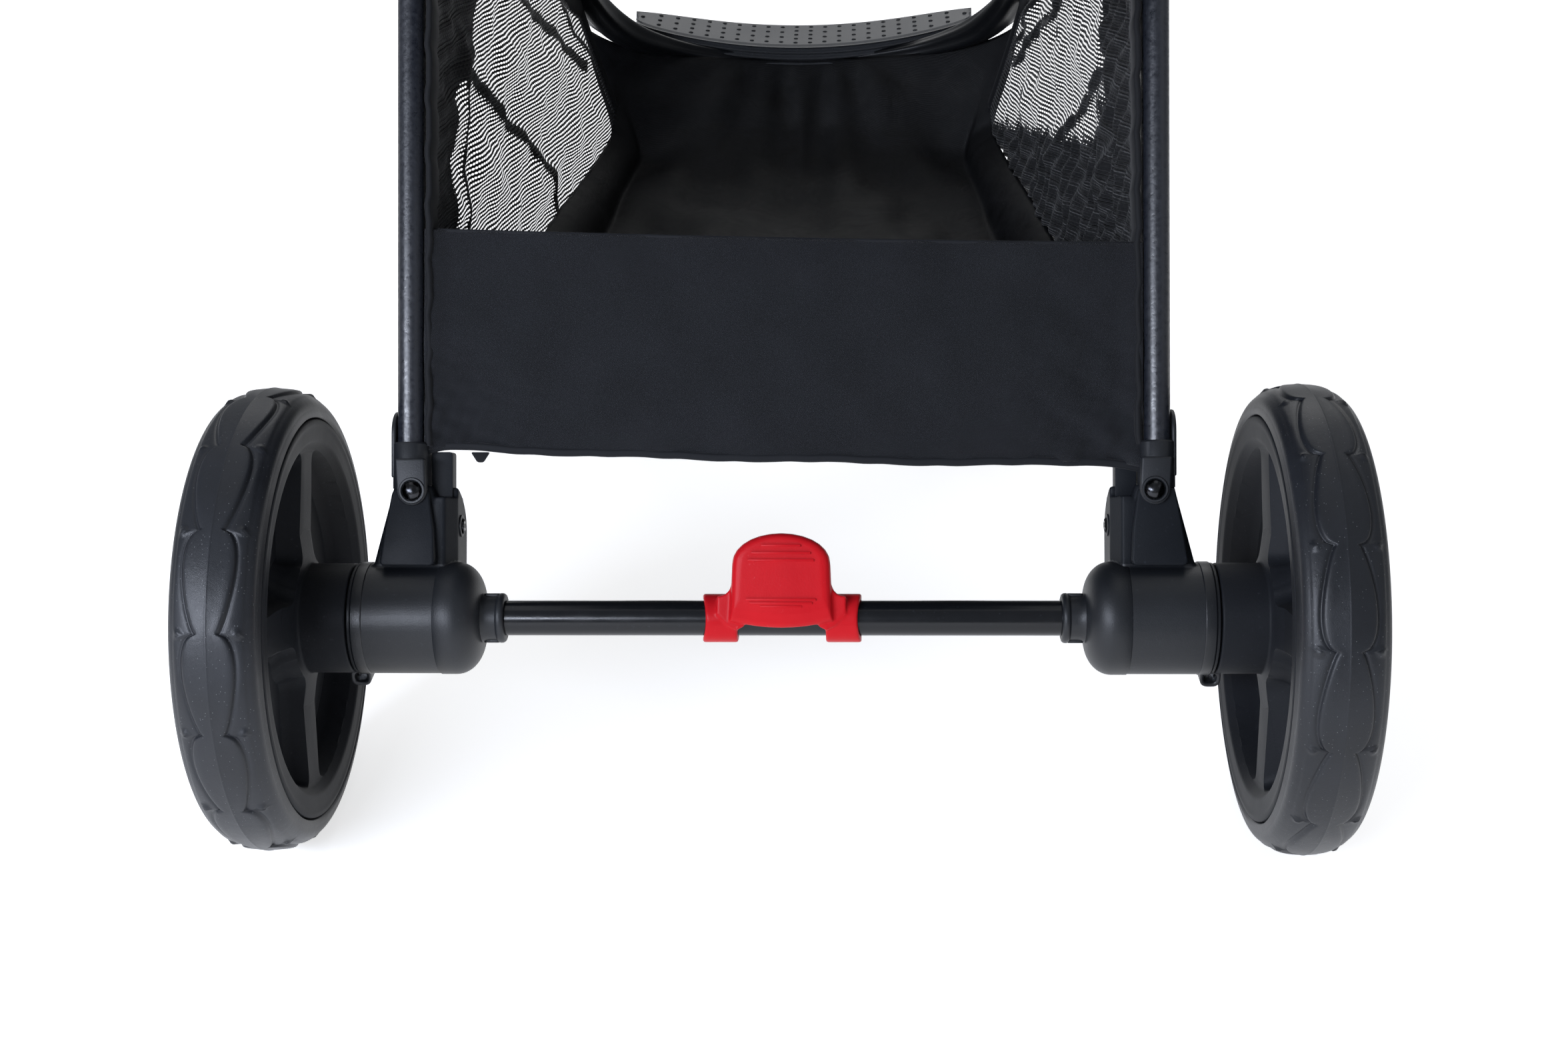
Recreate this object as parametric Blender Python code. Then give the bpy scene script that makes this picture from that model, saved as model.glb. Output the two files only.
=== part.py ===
"""Pet stroller: four wheels, folding aluminium frame, shopping basket, pet cabin and canopy.

Metres, +Z up, +Y is the way the stroller rolls and +X is its right-hand side.
The origin is on the ground, in the middle of the object's box.
Fore-and-aft places are given as distances ahead of the rear axle, and along() turns them into Y.
"""

import math

import bmesh
import bpy
from mathutils import Matrix, Vector

# Driving dimensions.
REAR_WHEEL_R = 0.125
REAR_TYRE_W = 0.046
REAR_WHEEL_X = 0.274
FRONT_WHEEL_R = 0.090
FRONT_TYRE_W = 0.036
FRONT_WHEEL_X = 0.125
WHEELBASE = 0.620
CASTER_TRAIL = 0.035
HUB_Y = 0.235
HUB_Z = 0.620
LEG_X = 0.200
TUBE_W = 0.014
LEG_DEPTH = 0.030
HANDLE_X = 0.2175
HANDLE_TOP_Y = -0.100
HANDLE_TOP_Z = 1.020
CABIN_HALF_W = 0.163
CABIN_BACK = -0.050
CABIN_FRONT = 0.530
CABIN_BOTTOM = 0.480
CABIN_TOP = 0.690
CANOPY_Y = 0.130
CANOPY_Z = 0.722
HOOP_LENGTH = 0.300
CANOPY_BACK_LENGTH = 0.190
GAP = 0.0003  # left between pieces that touch

# Sizes that follow from them.
LENGTH = REAR_WHEEL_R + WHEELBASE + FRONT_WHEEL_R
AXLE_Y = REAR_WHEEL_R - LENGTH / 2
LEAN = math.atan2(HUB_Y, HUB_Z - REAR_WHEEL_R)
LEG_LENGTH = math.hypot(HUB_Y, HUB_Z - REAR_WHEEL_R)

# Rear corner: distances from the car's middle plane, and radii.
BARREL_R = 0.030
BARREL_IN = 0.184
BARREL_OUT = 0.230
COLLAR_IN = 0.232
COLLAR_R = 0.029
SHAFT_R = 0.006
PIN_R = 0.003
PIN_OFFSET = 0.0165
BRAKE_HOLES = 12
BRAKE_HOLE_R = 0.0038
BAR_R = 0.0095
SOCKET_LOW = 0.0725
SOCKET_HIGH = 0.095
EAR_HIGH = 0.112
FRONT_TUBE_DEPTH = 0.0200
FRONT_TUBE_DEEP = Vector((0, 0.66, 0.75))  # the way its deep side faces
LEVER_X = 0.2250
LEVER_SLOT = (0.2185, 0.2315)

# Hub discs, as (inner, outer) distances from the middle plane.
HUB_R = 0.034
FRONT_DISC = (0.1745, 0.1905)
REAR_DISC = (0.1925, 0.2075)
HANDLE_DISC = (0.2095, 0.2255)
BUTTON_R = 0.012

PLASTIC = ((0.018, 0.019, 0.022), 0.5, 0.0)
TUBE_PAINT = ((0.020, 0.022, 0.030), 0.45, 0.3)
TYRE = ((0.030, 0.032, 0.036), 0.8, 0.0)
STEEL = ((0.55, 0.56, 0.58), 0.3, 1.0)
FABRIC = ((0.012, 0.013, 0.017), 0.85, 0.0)
MESH_FABRIC = ((0.010, 0.010, 0.011), 0.9, 0.0)
FOAM = ((0.015, 0.015, 0.016), 0.9, 0.0)
PEDAL_RED = ((0.62, 0.012, 0.020), 0.4, 0.0)
CUSHION_GREY = ((0.22, 0.23, 0.25), 0.9, 0.0)


def along(distance):
    """Y of a place this far ahead of the rear axle."""
    return AXLE_Y + distance


def clear_scene():
    for obj in list(bpy.data.objects):
        bpy.data.objects.remove(obj, do_unlink=True)


def give_material(obj, finish):
    colour, roughness, metallic = finish
    material = bpy.data.materials.new(obj.name)
    material.use_nodes = True
    shader = material.node_tree.nodes["Principled BSDF"]
    shader.inputs["Base Color"].default_value = (*colour, 1.0)
    shader.inputs["Roughness"].default_value = roughness
    shader.inputs["Metallic"].default_value = metallic
    obj.data.materials.clear()
    obj.data.materials.append(material)


def make_object(name, mesh_builder, finish=None, origin=(0, 0, 0)):
    """An object whose mesh is given in world coordinates and whose origin is put at origin."""
    bmesh.ops.recalc_face_normals(mesh_builder, faces=mesh_builder.faces)
    bmesh.ops.translate(mesh_builder, verts=mesh_builder.verts, vec=-Vector(origin))
    mesh = bpy.data.meshes.new(name)
    mesh_builder.to_mesh(mesh)
    mesh_builder.free()
    obj = bpy.data.objects.new(name, mesh)
    obj.location = origin
    bpy.context.collection.objects.link(obj)
    if finish:
        mesh.shade_smooth()
        mesh.set_sharp_from_angle(angle=math.radians(35))
        give_material(obj, finish)
    return obj


def loft(rings, closed=False):
    """A skin through rings of equally many points, capped unless the last ring joins the first."""
    builder = bmesh.new()
    made = [[builder.verts.new(point) for point in ring] for ring in rings]
    pairs = list(zip(made, made[1:]))
    if closed:
        pairs.append((made[-1], made[0]))
    count = len(rings[0])
    for first, second in pairs:
        for i in range(count):
            j = (i + 1) % count
            builder.faces.new((first[i], first[j], second[j], second[i]))
    if not closed:
        builder.faces.new(made[0])
        builder.faces.new(made[-1])
    return builder


def circle(place, radius, centre, segments, axis, side):
    """A ring of points about an axis through the centre, at a place along that axis."""
    ring = []
    for step in range(segments):
        turn = 2 * math.pi * step / segments
        a, b = radius * math.cos(turn), radius * math.sin(turn)
        offset = (side * place, a, b) if axis == "X" else (a, b, side * place)
        ring.append(Vector(centre) + Vector(offset))
    return ring


def lathe(profile, centre, segments=20, axis="X", side=1):
    """A closed profile of (place along the axis, radius) turned into a ring; side -1 mirrors it."""
    circles = [circle(*point, centre, segments, axis, side) for point in profile]
    return loft([list(ring) for ring in zip(*circles)], closed=True)


def turned(profile, centre, segments=20, axis="X", side=1):
    """A solid of revolution whose profile's first and last radii close in flat caps."""
    return loft([circle(*point, centre, segments, axis, side) for point in profile])


def disc(start, end, radius, centre, segments=20, axis="X", side=1):
    """A solid cylinder between two places on its axis."""
    return turned([(start, radius), (end, radius)], centre, segments, axis, side)


def block(low, high):
    corners = [
        (low[0], low[1]),
        (high[0], low[1]),
        (high[0], high[1]),
        (low[0], high[1]),
    ]
    return loft([[(x, y, z) for x, y in corners] for z in (low[2], high[2])])


def prism(outline, low, high, plane="YZ"):
    """An outline in one plane, extruded along the third axis."""
    if plane == "YZ":
        return loft([[(x, a, b) for a, b in outline] for x in (low, high)])
    if plane == "XZ":
        return loft([[(a, y, b) for a, b in outline] for y in (low, high)])
    return loft([[(a, b, z) for a, b in outline] for z in (low, high)])


def oval(centre, across, width, normal, depth, points=8):
    """A flat-sided oval ring: width along across, depth along normal."""
    ring = []
    round_part = (depth - width) / 2
    for step in range(points):
        turn = 2 * math.pi * (step + 0.5) / points
        shift = round_part if math.sin(turn) > 0 else -round_part
        ring.append(
            Vector(centre)
            + across * (width / 2 * math.cos(turn))
            + normal * (width / 2 * math.sin(turn) + shift)
        )
    return ring


def swept_tube(path, reference, width, depth, points=8):
    """An oval tube along a path, with its deep side kept towards the reference direction."""
    rings = []
    path = [Vector(p) for p in path]
    for i, point in enumerate(path):
        before = path[max(i - 1, 0)]
        after = path[min(i + 1, len(path) - 1)]
        tangent = (after - before).normalized()
        normal = (reference - tangent * reference.dot(tangent)).normalized()
        rings.append(oval(point, tangent.cross(normal), width, normal, depth, points))
    return loft(rings)


def smooth_path(points, steps):
    """A Catmull-Rom curve through the points."""
    points = [Vector(p) for p in points]
    ends = [2 * points[0] - points[1], *points, 2 * points[-1] - points[-2]]
    path = []
    for i in range(1, len(ends) - 2):
        a, b, c, d = ends[i - 1 : i + 3]
        for step in range(steps):
            t = step / steps
            path.append(
                0.5
                * (
                    2 * b
                    + (c - a) * t
                    + (2 * a - 5 * b + 4 * c - d) * t**2
                    + (3 * b - a - 3 * c + d) * t**3
                )
            )
    return path + [points[-1]]


def rounded_rectangle(half_x, low_y, high_y, radius, corner_steps=3):
    """Points of a rounded rectangle about X = 0, anticlockwise from its back right corner."""
    centres = [
        (half_x - radius, low_y + radius, -90),
        (half_x - radius, high_y - radius, 0),
        (radius - half_x, high_y - radius, 90),
        (radius - half_x, low_y + radius, 180),
    ]
    outline = []
    for x, y, start in centres:
        for step in range(corner_steps + 1):
            turn = math.radians(start + 90 * step / corner_steps)
            outline.append((x + radius * math.cos(turn), y + radius * math.sin(turn)))
    return outline


def hide_helper(obj):
    obj.hide_render = True
    obj.display_type = "WIRE"
    return obj


def combine(obj, operation, builders):
    """Booleans on an object, each with a helper made from a mesh in world coordinates."""
    for number, builder in enumerate(builders):
        helper = hide_helper(make_object(f"{obj.name}_{operation.lower()}_{number}", builder))
        modifier = obj.modifiers.new(operation.title(), "BOOLEAN")
        modifier.operation = operation
        modifier.solver = "EXACT"
        modifier.object = helper
    return obj


def leaning(builder, x):
    """Turns a mesh made about the origin, with +Z up the rear leg, onto the rear axle at x."""
    turn = Matrix.Rotation(-LEAN, 4, "X")
    place = Matrix.Translation((x, AXLE_Y, REAR_WHEEL_R))
    bmesh.ops.transform(builder, matrix=place @ turn, verts=builder.verts)
    return builder


def sides():
    return (("left", -1), ("right", 1))


HUB = (0, along(HUB_Y), HUB_Z)
AXLE = (0, AXLE_Y, REAR_WHEEL_R)


def sector_outline(inner, outer, half_spoke, quarter, steps=3):
    """One pocket between two of four spokes, as points about the wheel's centre."""
    outline = []
    for radius, order in ((outer, range(steps + 1)), (inner, range(steps, -1, -1))):
        edge = math.degrees(math.asin(half_spoke / radius))
        for step in order:
            turn = math.radians(90 * quarter + edge + (90 - 2 * edge) * step / steps)
            outline.append((radius * math.cos(turn), radius * math.sin(turn)))
    return outline


def wheel_pockets(centre, inner, outer, half_spoke, low, high):
    """Four cutters between the X places low and high."""
    cutters = []
    for quarter in range(4):
        outline = sector_outline(inner, outer, half_spoke, quarter)
        placed = [(centre[1] + a, centre[2] + b) for a, b in outline]
        cutters.append(prism(placed, low, high))
    return cutters


def tyre_profile(radius, width, bed, steps=6):
    """A round tread over a flat bed."""
    half = width / 2
    profile = [(-half * 0.80, bed), (-half, bed + 0.0025)]
    for step in range(steps + 1):
        turn = math.pi * (1 - step / steps)
        height = math.sin(turn) ** 0.8
        base = bed + 0.005
        profile.append((half * math.cos(turn), base + (radius - base) * height))
    return profile + [(half, bed + 0.0025), (half * 0.80, bed)]


def rear_wheels():
    for word, side in sides():
        centre = (side * REAR_WHEEL_X, AXLE_Y, REAR_WHEEL_R)
        bed = 0.1085
        tyre = lathe(tyre_profile(REAR_WHEEL_R, REAR_TYRE_W, bed), centre, 24)
        make_object(f"rear_tyre_{word}", tyre, TYRE, centre)
        face = 0.0225
        web_out = 0.0100
        cap_seat = 0.0155
        collar = COLLAR_IN - REAR_WHEEL_X
        profile = [
            (-face, bed - GAP),
            (-face, COLLAR_R),
            (collar, COLLAR_R),
            (collar, SHAFT_R + GAP),
            (cap_seat, SHAFT_R + GAP),
            (cap_seat, 0.0270),
            (face, 0.0300),
            (face, 0.0360),
            (web_out, 0.0400),
            (web_out, 0.0920),
            (face, 0.0955),
            (face, bed - GAP),
        ]
        rim = make_object(f"rear_rim_{word}", lathe(profile, centre, 24, side=side), PLASTIC, centre)
        web_in = web_out - 0.0060
        near, far = sorted((centre[0] - side * 0.0400, centre[0] + side * web_in))
        combine(rim, "DIFFERENCE", wheel_pockets(centre, 0.037, 0.0925, 0.011, near, far))
        holes = []
        for number in range(BRAKE_HOLES):
            turn = 2 * math.pi * number / BRAKE_HOLES + math.pi / 2
            hole_y = AXLE_Y + PIN_OFFSET * math.cos(turn)
            hole_z = REAR_WHEEL_R + PIN_OFFSET * math.sin(turn)
            start, end = COLLAR_IN - 0.004, COLLAR_IN + 0.010
            holes.append(disc(start, end, BRAKE_HOLE_R, (0, hole_y, hole_z), 6, side=side))
        combine(rim, "DIFFERENCE", holes)
        cap = turned(
            [
                (cap_seat + GAP, 0.0262),
                (cap_seat + 0.0045, 0.0262),
                (cap_seat + 0.0070, 0.0210),
                (cap_seat + 0.0075, 0.0120),
            ],
            centre,
            side=side,
        )
        make_object(f"wheel_cap_{word}", cap, PLASTIC, centre)


def rear_axle_shafts():
    for word, side in sides():
        shaft = disc(0.196, REAR_WHEEL_X + 0.0150, SHAFT_R, AXLE, 16, side=side)
        make_object(f"wheel_shaft_{word}", shaft, STEEL, HUB)


def ear_outline():
    """The ear beside each arm: over the housing cap below, rounded off at its front and top."""
    back, front, shoulder, top = -0.0165, 0.0250, 0.0470, 0.0730
    radius = BARREL_R + 0.0012
    first, last = math.asin(back / radius), math.asin(front / radius)
    outline = []
    for step in range(6):
        turn = first + (last - first) * step / 5
        outline.append((radius * math.sin(turn), radius * math.cos(turn)))
    for step in range(7):
        turn = math.pi / 2 * step / 6
        outline.append(
            (back + (front - back) * math.cos(turn), shoulder + (top - shoulder) * math.sin(turn))
        )
    return outline


def axle_housings():
    """The barrel that holds the wheel shaft and the brake pin, with the arm that carries the leg."""
    for word, side in sides():
        profile = [
            (BARREL_IN, BARREL_R),
            (BARREL_OUT - 0.0085, BARREL_R),
            (BARREL_OUT - 0.0078, BARREL_R - 0.0008),
            (BARREL_OUT - 0.0072, BARREL_R - 0.0008),
            (BARREL_OUT - 0.0065, BARREL_R),
            (BARREL_OUT, BARREL_R - 0.0005),
        ]
        barrel = turned(profile, AXLE, 24, side=side)
        housing = make_object(f"axle_housing_{word}", barrel, PLASTIC, HUB)
        arm_low, arm_high = 0.0275, SOCKET_LOW - GAP
        arm = block((-0.0115, -0.0110, arm_low), (0.0115, 0.0135, arm_high))
        inner, outer = sorted((side * -0.0245, side * -0.0145))
        plate = prism(ear_outline(), inner, outer)
        bridge_low, bridge_high = sorted((side * -0.0160, side * -0.0100))
        bridge = block((bridge_low, -0.0080, 0.0327), (bridge_high, 0.0080, 0.0550))
        x = side * LEG_X
        combine(
            housing,
            "UNION",
            [leaning(arm, x), leaning(plate, x), leaning(bridge, x)],
        )
        pin_axis = (0, AXLE_Y, REAR_WHEEL_R + PIN_OFFSET)
        end = BARREL_OUT + 0.004
        pin_hole = disc(BARREL_OUT - 0.030, end, PIN_R + GAP, pin_axis, 8, side=side)
        shaft_hole = disc(BARREL_OUT - 0.030, end, SHAFT_R + GAP, AXLE, 12, side=side)
        low, high = sorted((side * LEVER_SLOT[0], side * LEVER_SLOT[1]))
        slot = block(
            (low, AXLE_Y - 0.0090, REAR_WHEEL_R - 0.0400),
            (high, AXLE_Y + 0.0090, REAR_WHEEL_R - 0.0235),
        )
        cavity = disc(BARREL_IN - 0.004, BARREL_OUT - 0.022, 0.0258, AXLE, 20, side=side)
        combine(housing, "DIFFERENCE", [cavity, pin_hole, shaft_hole, slot])


def housing_caps():
    """The bell that closes the barrel and necks down to the brake bar."""
    for word, side in sides():
        outer = [
            (BARREL_IN - GAP, BARREL_R - 0.0003),
            (0.1790, 0.0292),
            (0.1725, 0.0262),
            (0.1665, 0.0205),
            (0.1635, 0.0150),
            (0.1610, 0.0132),
            (0.1500, 0.0128),
        ]
        inner = [
            (0.1500, BAR_R + GAP),
            (0.1660, BAR_R + GAP),
            (0.1730, 0.0200),
            (BARREL_IN - GAP, 0.0255),
        ]
        make_object(
            f"housing_cap_{word}", lathe(outer + inner, AXLE, 20, side=side), PLASTIC, HUB
        )


def bracket_covers():
    """The plate that closes the back of the arm, and the round-headed rivet through its top."""
    back, front = -0.0165, -0.0110 - GAP
    for word, side in sides():
        outline = [
            (-0.0170, 0.0310),
            (0.0120, 0.0310),
            (0.0095, 0.0560),
            (0.0090, SOCKET_LOW - GAP),
            (-0.0090, SOCKET_LOW - GAP),
            (-0.0100, 0.0560),
        ]
        outline = [(-side * a, b) for a, b in outline]
        cover = leaning(prism(outline, back, front, "XZ"), side * LEG_X)
        cover_object = make_object(f"bracket_cover_{word}", cover, PLASTIC, HUB)
        rivet_up = 0.0655
        rivet_profile = [
            (-0.0125, 0.0018),
            (-0.0168, 0.0018),
            (-0.0170, 0.0042),
            (-0.0180, 0.0040),
            (-0.0195, 0.0022),
        ]
        rivet = turned(rivet_profile, (0, 0, 0), 14, axis="Z")
        quarter = Matrix.Rotation(math.radians(-90), 4, "X")
        lift = Matrix.Translation((0, 0, rivet_up))
        bmesh.ops.transform(rivet, matrix=lift @ quarter, verts=rivet.verts)
        make_object(f"leg_rivet_{word}", leaning(rivet, side * LEG_X), STEEL, HUB)
        hole = disc(-0.0300, -0.0163, 0.0046, (0, 0, 0), 14, axis="Z")
        bmesh.ops.transform(hole, matrix=lift @ quarter, verts=hole.verts)
        shank = disc(-0.0300, -0.0080, 0.0022, (0, 0, 0), 10, axis="Z")
        bmesh.ops.transform(shank, matrix=lift @ quarter, verts=shank.verts)
        combine(cover_object, "DIFFERENCE", [leaning(hole, side * LEG_X), leaning(shank, side * LEG_X)])
        shank = disc(-0.0180, -0.0080, 0.0022, (0, 0, 0), 10, axis="Z")
        bmesh.ops.transform(shank, matrix=lift @ quarter, verts=shank.verts)
        housing = bpy.data.objects[f"axle_housing_{word}"]
        combine(housing, "DIFFERENCE", [leaning(shank, side * LEG_X)])


def leg_sockets():
    """The sleeve round the foot of each leg, with an ear up its outer side."""
    for word, side in sides():
        across, normal = Vector((1, 0, 0)), Vector((0, 1, 0))
        rings = []
        for height in (SOCKET_LOW, SOCKET_HIGH):
            rings.append(oval((0, 0, height), across, 0.0190, normal, 0.0345, 16))
        socket = make_object(
            f"leg_socket_{word}", leaning(loft(rings), side * LEG_X), PLASTIC, HUB
        )
        ear = []
        outer, inner = 0.0095, 0.0075
        for step in range(7):
            turn = math.pi * step / 6
            ear.append((0.012 * math.cos(turn), EAR_HIGH - 0.012 + 0.012 * math.sin(turn)))
        ear = [(0.012, SOCKET_LOW + 0.004), *ear, (-0.012, SOCKET_LOW + 0.004)]
        low, high = sorted((side * inner, side * outer))
        combine(socket, "UNION", [leaning(prism(ear, low, high), side * LEG_X)])
        bore = []
        for height in (SOCKET_LOW - 0.01, EAR_HIGH + 0.01):
            bore.append(
                oval((0, 0, height), across, TUBE_W + 2 * GAP, normal, LEG_DEPTH + 2 * GAP, 8)
            )
        combine(socket, "DIFFERENCE", [leaning(loft(bore), side * LEG_X)])


def rear_legs():
    across, normal = Vector((1, 0, 0)), Vector((0, 1, 0))
    for word, side in sides():
        rings = []
        for height in (SOCKET_LOW + 0.001, LEG_LENGTH - HUB_R + 0.006):
            rings.append(oval((0, 0, height), across, TUBE_W, normal, LEG_DEPTH, 8))
        leg = leaning(loft(rings), side * LEG_X)
        make_object(f"rear_leg_{word}", leg, TUBE_PAINT, HUB)


def brake():
    """A cross bar that turns in both housings, its foot pedal, and the pins that lock the wheels."""
    bar = disc(-0.166, 0.166, BAR_R, AXLE, 20)
    make_object("brake_bar", bar, TUBE_PAINT, AXLE)
    half, shoulder, top = 0.0270, 0.0240, 0.0460
    paddle_steps = 8
    outline = [(-half, -0.0040), (half, -0.0040), (half, shoulder)]
    for step in range(1, paddle_steps):
        turn = math.pi * step / paddle_steps
        outline.append((half * math.cos(turn), shoulder + (top - shoulder) * math.sin(turn)))
    outline.append((-half, shoulder))
    paddle = leaning(prism(outline, -0.0190, -0.0120, "XZ"), 0)
    pedal = make_object("brake_pedal", paddle, PEDAL_RED, AXLE)
    clip_in, clip_out = 0.0240, 0.0425
    clips = []
    for _, side in sides():
        clips.append(disc(clip_in, clip_out, 0.0135, AXLE, 20, side=side))
    web = leaning(block((-0.0400, -0.0150, 0.0040), (0.0400, -0.0020, 0.0120)), 0)
    combine(pedal, "UNION", [*clips, web])
    combine(pedal, "DIFFERENCE", [disc(-0.060, 0.060, BAR_R + GAP, AXLE, 20)])
    for word, side in sides():
        centre = (0, AXLE_Y, REAR_WHEEL_R + PIN_OFFSET)
        pin = disc(0.1920, COLLAR_IN - 0.0020, PIN_R, centre, 10, side=side)
        make_object(f"brake_pin_{word}", pin, STEEL, centre)


def release_levers():
    """The spring-loaded loop under each housing that lets the wheel shaft go."""
    for word, side in sides():
        middle = side * LEVER_X
        low = (middle - 0.0055, AXLE_Y - 0.0080, REAR_WHEEL_R - 0.0360)
        high = (middle + 0.0055, AXLE_Y + 0.0080, REAR_WHEEL_R - 0.0242)
        lever = make_object(
            f"release_lever_{word}", block(low, high), PLASTIC, (middle, AXLE_Y, low[2])
        )
        slot = block(
            (middle - 0.0100, AXLE_Y - 0.0045, REAR_WHEEL_R - 0.0340),
            (middle + 0.0100, AXLE_Y + 0.0045, REAR_WHEEL_R - 0.0305),
        )
        combine(lever, "DIFFERENCE", [slot])


def hubs():
    """Three discs a side on one axis: front frame, rear leg and handle, with a fold button outside."""
    for word, side in sides():
        front = make_object(
            f"frame_hub_{word}", disc(*FRONT_DISC, HUB_R, HUB, 24, side=side), PLASTIC, HUB
        )
        boss = disc(FRONT_DISC[1] - 0.002, HANDLE_DISC[1] - 0.009, 0.0080, HUB, 20, side=side)
        combine(front, "UNION", [boss])
        rear = make_object(
            f"leg_hub_{word}", disc(*REAR_DISC, HUB_R - 0.001, HUB, 24, side=side), PLASTIC, HUB
        )
        handle = make_object(
            f"handle_hub_{word}", disc(*HANDLE_DISC, HUB_R, HUB, 24, side=side), PLASTIC, HUB
        )
        for piece in (rear, handle):
            start = REAR_DISC[0] - 0.005
            end = HANDLE_DISC[1] - 0.0085
            combine(piece, "DIFFERENCE", [disc(start, end, 0.0083, HUB, 20, side=side)])
        pocket = disc(HANDLE_DISC[1] - 0.0070, HANDLE_DISC[1] + 0.004, BUTTON_R + GAP, HUB, 24, side=side)
        combine(handle, "DIFFERENCE", [pocket])
        button = turned(
            [
                (HANDLE_DISC[1] - 0.0035, BUTTON_R),
                (HANDLE_DISC[1] + 0.0030, BUTTON_R),
                (HANDLE_DISC[1] + 0.0045, BUTTON_R - 0.002),
            ],
            HUB,
            20,
            side=side,
        )
        make_object(f"fold_button_{word}", button, PLASTIC, HUB)
        leg_top = oval_bar(LEG_LENGTH - HUB_R - 0.004, LEG_LENGTH + 0.001, TUBE_W + 4 * GAP)
        cut = leaning(leg_top, side * LEG_X)
        combine(rear, "DIFFERENCE", [cut])


def oval_bar(low, high, width):
    across, normal = Vector((1, 0, 0)), Vector((0, 1, 0))
    extra = width - TUBE_W
    rings = []
    for height in (low, high):
        rings.append(oval((0, 0, height), across, width, normal, LEG_DEPTH + extra, 8))
    return loft(rings)


def front_tube(room=0):
    """One tube that comes down from both hubs and bows across, this much larger all round."""
    places = [
        (0.1830, 0.2625, 0.5925),
        (0.1830, 0.3300, 0.5200),
        (0.1800, 0.4250, 0.4300),
        (0.1640, 0.5100, 0.3660),
        (0.1350, 0.5480, 0.3320),
        (0.0850, 0.5680, 0.3085),
        (0.0000, 0.5740, 0.3020),
    ]
    places = [Vector((x, along(ahead), z)) for x, ahead, z in places]
    places += [Vector((-p.x, p.y, p.z)) for p in reversed(places[:-1])]
    width, depth = TUBE_W + 2 * room, FRONT_TUBE_DEPTH + 2 * room
    return swept_tube(smooth_path(places, 2), FRONT_TUBE_DEEP, width, depth)


def footrest():
    """A thin saddle-shaped tray over the bow of the front tube."""
    thickness = 0.0045
    columns = 10
    half_width = 0.128
    near_z, far_z = 0.3130, 0.3165
    rings = []
    for column in range(columns + 1):
        t = -1 + 2 * column / columns
        x = half_width * t
        near = 0.5640 + 0.030 * t**2
        far = 0.6150 - 0.009 * t**2
        lift = 0.0155 * t**2
        low_near = (x, along(near), near_z + lift)
        low_far = (x, along(far), far_z + lift)
        rings.append(
            [
                low_near,
                low_far,
                (x, low_far[1], low_far[2] + thickness),
                (x, low_near[1], low_near[2] + thickness),
            ]
        )
    make_object("footrest", loft(rings), PLASTIC, HUB)


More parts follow.
